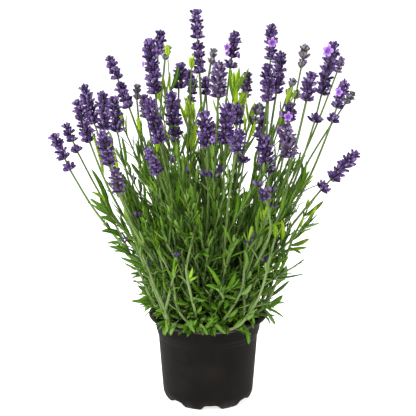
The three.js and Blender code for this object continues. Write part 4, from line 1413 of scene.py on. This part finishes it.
def add_woody_foot(bm, clump, random):
    middle = Vector((*clump["place"], 0))
    radius = clump["radius"]
    for i in range(branch_count(clump)):
        turn = i * GOLDEN_TURN
        out = radius * BRANCH_SPREAD * math.sqrt(random())
        root = middle + polar(turn, out * BRANCH_SPREAD, SOIL_TOP - BRANCH_DEPTH)
        top = middle + polar(turn, out + BRANCH_OUT, CROWN_TOP + BRANCH_RISE * random())
        parts = [k / BRANCH_STEPS for k in range(BRANCH_STEPS + 1)]
        points = [root.lerp(top, part) + Vector((random() - 0.5, random() - 0.5, 0)) for part in parts]
        thickness = (radius * BRANCH_ROOT, BRANCH_TIP)
        sizes = [mix(thickness, part) * vary(random, BRANCH_VARY) for part in parts]
        outline = spokes([vary(random, BARK_VARY) for _ in range(BARK_CORNERS)])
        sweep(bm, outline, rings_along(points, sizes), slot=BARK)


print("branches on each foot:", [branch_count(clump) for clump in clumps])

# %% [markdown]
# Every finished mesh becomes a piece in the same way. It is turned into metres, shaded smooth and given
# its materials.

# %% From a mesh to a piece


def finish_piece(bm, name, node, finishes):
    """The mesh in metres, with its finishes, in place of a solid where it has one."""
    bmesh.ops.recalc_face_normals(bm, faces=bm.faces)
    bmesh.ops.scale(bm, vec=(MM, MM, MM), verts=bm.verts)
    for face in bm.faces:
        face.smooth = True
    mesh = to_mesh(bm, name)
    for finish in finishes:
        mesh.materials.append(finish)
    piece = add_object(name, mesh)
    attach(piece, "root")
    if node:
        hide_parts(node)
    mesh.calc_loop_triangles()
    print(name, "triangles:", len(mesh.loop_triangles))


print("a millimetre in metres:", MM)

# %% [markdown]
# A clump is dressed stem by stem, each one in a small mesh of its own that then joins the whole. That
# keeps it quick, because Blender looks through a whole mesh at every step.

# %% Dressing a clump
CLUMP_SEED = 100
FLOWERING_STEM, LEAFY_STEM = (1.6, 0.85), (1.6, 0.6)
THICK_SHOOT, THIN_SHOOT = (1.5, 0.8), (0.95, 0.5)
THICK_KINDS = ("bowed", "wild", "flank", "lip")
BRIGHT_ABOVE = 290
MAIN_BEND = 1.8
MAIN_WIDTH = 0.9 * LEAF_WIDTH
MAIN_TONE, MAIN_TONE_MORE, MAIN_TONE_RANGE = 0.1, 0.45, 0.4
LOW_GREY, LOW_GREY_SHARE = 0.8, 0.45
FRONT_LEAF_TURN = -0.93
HANGING_TURNS = [FRONT_LEAF_TURN, -2.3, -0.35, 0.5, 1.5, 2.4, 3.3]
HANGING_ROOT = (57.5, 101)
HANGING_OUT, HANGING_ASIDE = 70.5, 0.05
FRONT_TIP, OTHER_TIP = 80, (86, 5)
HANGING_WIDTH, HANGING_TONE = (4.4, 1), (0.5, 0.3)
FACE_HEIGHT = 60


def dress_stem(stem, random):
    bm = blank()
    kind = "flowering" if stem["spike"] else "bright" if stem["tip"][2] > BRIGHT_ABOVE else "leafy"
    add_stem(bm, stem["curve"], FLOWERING_STEM if stem["spike"] else LEAFY_STEM)
    add_leaves(bm, stem["curve"], random, HABITS[kind])
    for leaf in stem["leaves"]:
        root, _, tip = leaf["points"]
        start = at_height(stem["curve"], root.z)
        grey = LOW_GREY if random() < LOW_GREY_SHARE * (1 - leaf["up"]) else 0.0
        tone = MAIN_TONE + MAIN_TONE_MORE * leaf["up"] + MAIN_TONE_RANGE * random()
        add_leaf(bm, start, tip, leaf["along"], leaf["bend"] * MAIN_BEND, MAIN_WIDTH, tone, grey)
    return bm


def dress_side_shoot(shoot, random):
    bm = blank()
    points = smooth_line(shoot["points"], 2)
    add_stem(bm, points, THICK_SHOOT if shoot["kind"] in THICK_KINDS else THIN_SHOOT)
    add_leaves(bm, points, random, HABITS[shoot["kind"]])
    return bm


def add_hanging_leaf(bm, turn, random):
    """A leaf that lies over the lip and hangs down outside it."""
    root = polar(turn, *HANGING_ROOT)
    aside = turn + HANGING_ASIDE * random()
    tip = polar(aside, HANGING_OUT, FRONT_TIP if turn == FRONT_LEAF_TURN else draw(random, OTHER_TIP))
    face = Vector((root.x, root.y, FACE_HEIGHT)).normalized()
    add_leaf(bm, root, tip, face, HANGING_BEND, draw(random, HANGING_WIDTH), draw(random, HANGING_TONE))


def dress_clump(number, clump):
    random = make_random(CLUMP_SEED + number)
    bm = blank()
    add_woody_foot(bm, clump, random)
    for stem in clump["stems"]:
        join(bm, dress_stem(stem, random))
    for shoot in side_shoots:
        if shoot["clump"] is clump:
            join(bm, dress_side_shoot(shoot, random))
    add_standing_out(bm, clump)
    for turn in HANGING_TURNS:
        if nearest_foot(polar(turn, RING_RADIUS, 0)) is clump:
            add_hanging_leaf(bm, turn, random)
    finish_piece(bm, f"leafy_stems_{number:02d}", f"clump_{number:02d}",
                 [OLD_BARK, STEM_GREEN, LEAF_GREEN])


for stem in stems:
    stem["leaves"] = [leaf for leaf in leaves if leaf["stem"] is stem]
for number, clump in enumerate(clumps, 1):
    dress_clump(number, clump)

# %% [markdown]
# A calyx is a small ribbed tube that curves upwards: an outline with ridges, drawn through a narrow
# root, a belly and a mouth. Some of them carry a folded petal. Where a flower is open, its tube
# widens into five rounded lobes, two larger ones above and three below.

# %% Calyx, petals and bract
RIDGES = 8
CALYX_SHAPE = [(0.0, 0.06), (0.36, 0.175), (0.8, 0.215), (1.0, 0.15)]
LOBES = 5
LOBE_POINTS = 4
THROAT = 0.62
FOLDED_DARK = 0.3
CALYX_SLOT, SPIKE_STEM_SLOT, BRACT_SLOT, PETAL_SLOT = 0, 1, 2, 3


def star(count, shallow):
    """An outline whose points take turns out and in."""
    return spokes([1.0, shallow] * (count // 2))


def lobed():
    """An outline with rounded lobes."""
    turns = [2 * math.pi * k / (LOBES * LOBE_POINTS) for k in range(LOBES * LOBE_POINTS)]
    return spokes([THROAT + (1 - THROAT) * abs(math.cos(LOBES * turn / 2 - math.pi / 4)) for turn in turns])


def upright_rings(shape, curve=0.0):
    return [Matrix.Translation((0, curve * z * z, z)) @ Matrix.Rotation(-2 * curve * z, 4, "X")
            @ Matrix.Diagonal((r, r, 1.0, 1.0)) for z, r in shape]


def calyx():
    bm = blank()
    sweep(bm, star(RIDGES, 0.8), upright_rings(CALYX_SHAPE, 0.2), CALYX_SLOT, ribs=range(0, RIDGES, 2))
    return template(bm, "calyx")


def petal_bud():
    bm = blank()
    shape = [(0.0, 0.05), (0.3, 0.11), (0.7, 0.12), (0.95, 0.07), (1.0, 0.01)]
    sweep(bm, star(6, 0.9), upright_rings(shape), PETAL_SLOT)
    layer = bm.verts.layers.float["along"]
    for vert in bm.verts:
        vert[layer] *= FOLDED_DARK
    return template(bm, "petal_bud")


def corolla():
    """A tube that opens into lobes. The two upper ones, on the +Y side, are larger."""
    bm = blank()
    shape = [(0.0, 0.07), (0.4, 0.1), (0.62, 0.17), (0.76, 0.32), (0.82, 0.46), (0.8, 0.56), (0.76, 0.5),
             (0.68, 0.28), (0.5, 0.1)]
    sweep(bm, lobed(), upright_rings(shape), PETAL_SLOT)
    layer = bm.verts.layers.float["along"]
    for vert in bm.verts:
        radius = math.hypot(vert.co.x, vert.co.y)
        vert[layer] = min(radius / 0.5, 1.0)
        if vert.co.z > 0.6:
            vert.co.y *= 1.25 if vert.co.y > 0 else 0.95
            vert.co.z += 0.15 * vert.co.y - 0.5 * vert.co.x ** 2 + 0.05 * math.sin(9 * vert.co.x)
    return template(bm, "corolla")


def bract():
    bm = blank()
    outline = [(-0.5, 0.12), (0.0, -0.06), (0.5, 0.12), (0.0, 0.02)]
    shape = [(0.0, 0.2), (0.25, 0.75), (0.5, 1.0), (0.8, 0.5), (1.0, 0.04)]
    rings = [Matrix.Translation((0, 0.25 * z * z, z)) @ Matrix.Diagonal((r * 0.8, r, 1.0, 1.0))
             for z, r in shape]
    sweep(bm, outline, rings, BRACT_SLOT)
    return template(bm, "bract")


CALYX_MESH, PETAL_BUD, COROLLA, BRACT = calyx(), petal_bud(), corolla(), bract()

# %% [markdown]
# A spike is built whorl by whorl up its line. A whorl is a ring of calyces that lean out, with two
# tighter and taller rings inside it, so that its tips show as separate teeth and the olive roots,
# darkened with painted shade, show between them. Each ring is listed with its number of calyces, their
# lean, their size and how far up the whorl they start. Young spikes are tighter, and the whorl at the top is
# a tuft.

# %% Whorls
OPEN_RINGS = [(8, 72, 1.04, 0.0), (6, 44, 1.06, 0.1), (3, 18, 1.02, 0.2)]
YOUNG_RINGS = [(6, 44, 1.1, 0.0), (5, 24, 1.1, 0.12)]
TOP_RINGS = [(7, 52, 0.94, -0.1), (5, 24, 0.84, 0.0)]
ROOT_OUT = 0.7
BRACTS = {VIOLET: 2, MAUVE: 2, BUD: 3}
WIDEST_CALYX = 6.6
CALYX_VARY = 0.16
PETAL_CHANCE = 0.12
PETAL_IN, PETAL_WIDTH, PETAL_LENGTH = 0.16, 0.8, 0.3
TURN_RANGE = 0.6
ANGLE_RANGE = 22
LENGTH_VARY = 0.13
REACH_LIMIT = 1.08
START_RANGE = 0.16
BRACT_LEAN, BRACT_OUT, BRACT_WIDTH, BRACT_LENGTH = 1.0, 0.6, 0.5, 0.55


def standing(place, direction, up, width, length):
    """A matrix that stands a template at a place, along a direction, with its +Y side upwards."""
    across = up.cross(direction).normalized()
    return axes(across * width, direction.cross(across) * width, direction * length, place)


def leaning(along, turn, lean):
    """A direction that leans away from a line, and the way that it leans."""
    out = outwards(along, turn)
    return (along * math.cos(lean) + out * math.sin(lean)).normalized(), out


def add_calyx(bm, root, direction, along, length, random):
    """A calyx, some of them with a folded petal. Returns its tip, direction and length."""
    width = min(length, WIDEST_CALYX) * vary(random, CALYX_VARY)
    add_copy(bm, CALYX_MESH, standing(root, direction, along, width, length), random())
    tip = root + direction * length
    if random() < PETAL_CHANCE:
        start = tip - direction * length * PETAL_IN
        matrix = standing(start, direction, along, length * PETAL_WIDTH, length * PETAL_LENGTH)
        add_copy(bm, PETAL_BUD, matrix, random())
    return tip, direction, length


def add_whorl(bm, base, along, pitch, reach, look, random, top):
    """The calyces and bracts of one whorl. Returns the tip, direction and length of each calyx."""
    calyces = []
    for count, lean, size, start in TOP_RINGS if top else YOUNG_RINGS if look == BUD else OPEN_RINGS:
        first = random() * 2 * math.pi
        for i in range(count):
            turn = first + 2 * math.pi * (i + TURN_RANGE * (random() - 0.5)) / count
            angle = math.radians(lean + ANGLE_RANGE * (random() - 0.5))
            direction, out = leaning(along, turn, angle)
            longest = (reach * REACH_LIMIT - ROOT_OUT) / math.sin(angle)
            length = min(reach * size * vary(random, LENGTH_VARY), longest)
            root = base + along * pitch * (start + START_RANGE * random()) + out * ROOT_OUT
            calyces.append(add_calyx(bm, root, direction, along, length, random))
    first = random() * math.pi
    for k in range(BRACTS[look]):
        direction, out = leaning(along, first + 2 * math.pi * k / BRACTS[look], BRACT_LEAN)
        matrix = standing(base + out * BRACT_OUT, direction, along, reach * BRACT_WIDTH, reach * BRACT_LENGTH)
        add_copy(bm, BRACT, matrix, random())
    return calyces


print("calyces in an open whorl:", sum(ring[0] for ring in OPEN_RINGS))

# %% [markdown]
# The whorls stand on a short square stem that goes on from the main one. Where the plan has a gap, bare
# stem shows. Where it names an open flower, the calyx that faces that way most gets its petals.

# %% Dressing a spike
SPIKE_SEED = 500
SPIKE_STEM = (0.85, 0.85)
SPIKE_STEM_STEPS = 6
YOUNG_STRETCH = 1.3
TOP_SIZE = 0.95
WHORL_VARY = 0.06
FLOWER_RISE, FLOWER_TURN, FLOWER_IN, FLOWER_LENGTH = 0.15, 0.5, 0.35, 0.8


def open_flower(bm, calyces, start, along, facing, size, random):
    """Petals on the calyx that faces a direction most."""
    turn = math.radians(facing)
    out = Vector((math.cos(turn), math.sin(turn), FLOWER_RISE))
    tip, direction, length = max(calyces, key=lambda c: (c[0] - start).dot(out))
    opened = (direction * FLOWER_TURN + out).normalized()
    mouth = tip - direction * length * FLOWER_IN
    add_copy(bm, COROLLA, standing(mouth, opened, along, size, size * FLOWER_LENGTH), random())


def dress_spike(number, stem):
    plan = stem["spike"]
    look, whorls = plan["look"], plan["whorls"]
    random = make_random(SPIKE_SEED + number)
    start, end = line_at(stem, stem["foot"][2]), line_at(stem, stem["tip"][2])
    below, gap = plan["gap"]
    along = (end - start).normalized()
    pitch = ((end - start).length - gap) / whorls
    reach = plan["reach"] * (YOUNG_STRETCH if look == BUD else 1.0)
    bm = blank()
    last = end - along * pitch * 0.5
    points = [start.lerp(last, k / SPIKE_STEM_STEPS) for k in range(SPIKE_STEM_STEPS + 1)]
    points[0] = stem["curve"][-1]
    add_stem(bm, points, SPIKE_STEM, SPIKE_STEM_SLOT)
    height = 0.0
    for whorl in range(1, whorls + 1):
        top = whorl == whorls
        size = reach * (TOP_SIZE if top else 1.0) * vary(random, WHORL_VARY)
        calyces = add_whorl(bm, start + along * height, along, pitch, size, look, random, top)
        for at, facing, wide in plan["flowers"]:
            if at == whorl:
                open_flower(bm, calyces, start + along * height, along, facing, wide, random)
        height += pitch + (gap if whorl == below else 0)
    finish_piece(bm, f"flower_spike_{number:02d}", f"spike_{number:02d}",
                 [CALYX[look], STEM_GREEN, DRY_BRACT, LILAC_PETAL])


for number, stem in enumerate((s for s in stems if s["spike"]), 1):
    dress_spike(number, stem)

# %% [markdown]
# Here and there lower in the plant, a few late calyces sit in pairs or small whorls on a thin stalk
# that leaves a main stem. Each is listed by its place, its number of calyces and their lean. The
# stalk starts on whichever stem passes nearest below, so nothing hangs in the air.

# %% Low buds
LOW_BUDS = [
    # the front and the sides
    ((-32, -88, 184), 2, 42), ((-72, -50, 214), 3, 32), ((-88, -20, 180), 2, 40), ((-74, -45, 177), 2, 32),
    ((-60, -60, 164), 2, 32), ((68, -20, 215), 3, 38), ((84, 10, 206), 3, 52), ((48, -60, 195), 2, 30),
    ((41, -70, 191), 2, 38), ((59, -50, 166), 2, 32),
    # under the spikes
    ((-34, -30, 289), 4, 48), ((-36, -60, 273), 3, 14), ((-19, -60, 262), 3, 12), ((-2, -70, 262), 6, 58),
    ((5, -72, 260), 2, 40), ((12, -60, 264), 4, 44), ((50, -82, 253), 6, 46), ((61, -80, 247), 4, 50),
    # the back
    ((-50, 80, 222), 3, 36), ((8, 94, 196), 2, 40), ((60, 70, 240), 4, 44), ((-84, 48, 232), 3, 40),
]
BUD_SEED = 77
BUD_CALYX = 7.5
BUD_VARY = 0.15
BUD_OUT, BUD_RISE = 0.3, 0.6
BUD_TURN, BUD_LEAN_VARY = 0.5, 0.2
STALK_DROP = 16
STALK_THICKNESS = (0.8, 0.8)
STALK_SWING, STALK_LIFT = 0.05, 1.5
STALK_UPRIGHT = 0.6


def nearest_stem_point(place):
    """The point that a stalk starts from: on the stem that passes nearest, a little lower down."""
    level = place.z - STALK_DROP
    points = [at_height(stem["curve"], level) for stem in stems if stem["curve"][-1].z > level]
    return min(points, key=lambda point: (point - place).length)


def make_low_buds():
    random = make_random(BUD_SEED)
    bm = blank()
    longest = 0.0
    for place, count, lean in LOW_BUDS:
        place = Vector(place)
        root = nearest_stem_point(place)
        longest = max(longest, (place - root).length)
        middle = root.lerp(place, 0.5) + UP * STALK_LIFT - (place - root) * STALK_SWING
        line = smooth_line([root, middle, place], 3)
        along = (line[-1] - line[-2]).normalized().lerp(UP, STALK_UPRIGHT).normalized()
        add_stem(bm, line, STALK_THICKNESS, SPIKE_STEM_SLOT)
        first = BUD_TURN * (random() - 0.5)
        for k in range(count):
            angle = math.radians(lean) * vary(random, BUD_LEAN_VARY)
            direction, out = leaning(along, first + 2 * math.pi * k / count, angle)
            root = place + out * BUD_OUT + UP * BUD_RISE * random()
            add_calyx(bm, root, direction, along, BUD_CALYX * vary(random, BUD_VARY), random)
    print("longest stalk in mm:", round(longest))
    finish_piece(bm, "low_buds", None, [CALYX[VIOLET], STEM_GREEN, DRY_BRACT, LILAC_PETAL])


make_low_buds()

# %% [markdown]
# The pot is one skin, so it is turned in one go: its profile is drawn as a chain of points from the
# middle of the underside, up the outside, over the lip and down the inside, and spun round the axis.
# The drain notches are where the mould pushed the foot in. So they are pressed in afterwards: near a
# notch, each point of the foot moves towards where the notch has it.

# %% Pot
POT_STEPS = 168
NOTCHES = 7
NOTCH_TURN = math.radians(4.6)
NOTCH_HALF = math.radians(10.5)
NOTCH_SOFT = math.radians(8.0)
SAME_POINT = 0.02
FOOT_POINTS = [((36, 0), (36, 0)), ((38.5, 0), (37.4, 0.5)), ((41, 0), (38.0, 2.2)), ((43.8, 0), (38.8, 4.4)),
               ((45.6, 0.15), (41.0, 5.2)), ((46.9, 0.8), (43.6, 5.5)), ((47.9, 1.9), (45.8, 5.7)),
               ((48.7, 3.3), (47.8, 5.9)), ((49.3, 4.8), (49.2, 6.2)), ((49.9, 6.4), (50.0, 7.0))]
SIDE_POINTS = [(50.4, 12), (51.3, 24), (52.3, 38), (53.3, 52), (54.1, 64), (54.5, 71.5), (54.7, 73.2),
               (55.5, 74.1), (55.7, 75), (55.8, 77.6), (56.2, 78.4), (56.9, 78.9), (57.1, 79.8), (57.3, 84),
               (57.5, 90.2), (58.0, 91.6), (59.2, 92.7), (61, 93.3), (63, 93.5), (64.3, 93.9), (64.9, 94.8),
               (64.9, 95.8), (64.2, 96.7), (62.6, 97), (60.4, 96.8), (58.4, 96), (57, 94.4), (56.3, 92),
               (56.0, 84), (55.2, 79), (54.4, 74), (53.2, 64), (51.5, 40), (49.9, 20), (48.6, 9),
               (44.5, 7.4), (36, 7.2), (0, 7.2)]


def spun(profile, steps):
    """A chain of points, given by their distance from the axis and height, spun round the axis."""
    bm = blank()
    verts = [bm.verts.new((radius, 0, z)) for radius, z in profile]
    edges = [bm.edges.new(pair) for pair in zip(verts, verts[1:])]
    bmesh.ops.spin(bm, geom=verts + edges, cent=(0, 0, 0), axis=(0, 0, 1), angle=2 * math.pi, steps=steps,
                   use_merge=True)
    bmesh.ops.remove_doubles(bm, verts=bm.verts, dist=1e-4)
    return bm


def notch_share(turn):
    """How far a notch presses the foot in at a turn: 1 inside a notch, 0 between two of them."""
    pitch = 2 * math.pi / NOTCHES
    off = abs((turn + pitch / 2) % pitch - pitch / 2)
    share = min(max((NOTCH_HALF - off) / NOTCH_SOFT + 0.5, 0.0), 1.0)
    return share * share * (3 - 2 * share)


def make_pot():
    bm = spun([(0, 0), (20, 0)] + [plain for plain, _ in FOOT_POINTS] + SIDE_POINTS, POT_STEPS)
    for vert in bm.verts:
        radius, z = math.hypot(vert.co.x, vert.co.y), vert.co.z
        for plain, notched in FOOT_POINTS:
            if abs(plain[0] - radius) < SAME_POINT and abs(plain[1] - z) < SAME_POINT:
                share = notch_share(math.atan2(vert.co.y, vert.co.x) + math.pi / 2 - NOTCH_TURN)
                now = radius + (notched[0] - radius) * share
                vert.co.x *= now / radius
                vert.co.y *= now / radius
                vert.co.z += (notched[1] - z) * share
                break
    finish_piece(bm, "nursery_pot", "pot", [POT_PLASTIC])


make_pot()

# %% [markdown]
# The compost fills the pot to a little below its lip. Its surface is a spun disc whose points are
# pushed up and down, and crumbs and chips of bark lie on it. They are mostly hidden by the leaves.

# %% Soil
SOIL_SEED = 77
SOIL_STEPS = 96
SOIL_SIDE = [(0, 8), (44, 8), (49, 12), (53.4, 74), (54.6, 86)]
SOIL_SURFACE = [(54.2 - k * 3.6, 86.4 + k * 0.14) for k in range(15)] + [(0, 88.5)]
BUMPS_ABOVE, BUMPS = 85, 1.6
CRUMBS = 420
CRUMB_REACH, CRUMB_HEIGHT, CRUMB_SLOPE = 53.5, 87.9, 0.03
CRUMB_SIZE = (0.7, 1.6)
CHIPS = {"peat_crumb": 1, "bark_chip": 2, "wood_fibre": 4}


def crumb(name, long):
    """A rounded lump, or a splinter that is some times longer than wide."""
    bm = blank()
    bmesh.ops.create_icosphere(bm, subdivisions=1, radius=1.0)
    random = make_random(long * 7 + 1)
    for vert in bm.verts:
        vert.co *= 0.75 + 0.5 * random()
    bmesh.ops.scale(bm, vec=(1, 1 / long, 0.8 / long), verts=bm.verts)
    return template(bm, name)


def make_soil():
    random = make_random(SOIL_SEED)
    ground = spun(SOIL_SIDE + SOIL_SURFACE, SOIL_STEPS)
    for vert in ground.verts:
        if vert.co.z > BUMPS_ABOVE:
            vert.co.z += BUMPS * (random() - 0.5)
    bm = blank()
    join(bm, ground)
    chips = [crumb(name, long) for name, long in CHIPS.items()]
    for _ in range(CRUMBS):
        radius, turn = CRUMB_REACH * math.sqrt(random()), random() * 2 * math.pi
        place = polar(turn, radius, CRUMB_HEIGHT - radius * CRUMB_SLOPE)
        direction = Vector((random() - 0.5, random() - 0.5, 0.5 * random() - 0.25)).normalized()
        size = draw(random, CRUMB_SIZE)
        up = Vector((random() - 0.5, random() - 0.5, 1.0))
        add_copy(bm, chips[int(random() * 3)], standing(place, direction, up, size, size), random())
    finish_piece(bm, "compost", "soil", [POTTING_SOIL])


make_soil()

# %% [markdown]
# The photograph was lit softly against pure white, more from the left than from the right. A wide pale
# floor and a white sky would do that, but a sky that bright would also flatten the plant from all
# sides. So the sky is white only where the camera looks at it, and dimmer where it lights things, and
# the floor glows a little, as a light table does. Three large lamps shape the plant.

# %% Floor and light
FLOOR_RADIUS = 60.0
SKY_LIGHT = 0.55
FLOOR_GLOW = 0.75
AIM = Vector((0.0, 0.0, 0.2))
# where each lamp stands, how wide it is and its power in watts
LAMPS = {"key": ((-1.2, -1.2, 1.4), 1.0, 42.0), "fill": ((1.5, -1.0, 0.9), 1.6, 6.0),
         "top": ((0.1, 0.5, 2.0), 1.2, 20.0)}


def floor_white():
    look = Finish("floor_white", Specular_IOR_Level=0.1, Emission_Color=(1, 1, 1, 1),
                  Emission_Strength=FLOOR_GLOW)
    cloud = look.noise(3.0, 2.0)
    base = look.blend(look.ramp(cloud, 0.3, 0.7), (244, 244, 244), (241, 241, 241))
    return look.done(base, 0.9 + 0.02 * cloud)


def make_stage():
    """A wide round floor. Its far edge is out of the picture."""
    bm = bmesh.new()
    bmesh.ops.create_circle(bm, cap_ends=True, segments=96, radius=FLOOR_RADIUS)
    mesh = to_mesh(bm, "floor")
    mesh.materials.append(floor_white())
    floor = add_object("floor", mesh)


def add_lamp(name, place, size, power):
    data = bpy.data.lights.new(name, "AREA")
    data.shape, data.size, data.energy = "DISK", size, power
    lamp = add_object(name, data)
    lamp.location = place
    lamp.rotation_euler = (AIM - Vector(place)).to_track_quat("-Z", "Y").to_euler()


def make_sky():
    """White to the camera, and dimmer to everything that it lights."""
    world = bpy.data.worlds.new("studio")
    world.use_nodes = True
    nodes, links = world.node_tree.nodes, world.node_tree.links
    seen = nodes.new("ShaderNodeLightPath").outputs["Is Camera Ray"]
    strength = nodes.new("ShaderNodeMapRange")
    strength.inputs["To Min"].default_value = SKY_LIGHT
    links.new(seen, strength.inputs["Value"])
    nodes["Background"].inputs["Color"].default_value = (1.0, 1.0, 1.0, 1.0)
    links.new(strength.outputs[0], nodes["Background"].inputs["Strength"])
    bpy.context.scene.world = world


make_stage()
make_sky()
for name, lamp_values in LAMPS.items():
    add_lamp(name, *lamp_values)
bpy.context.scene.view_settings.view_transform = "Standard"
print("lamps:", list(LAMPS))
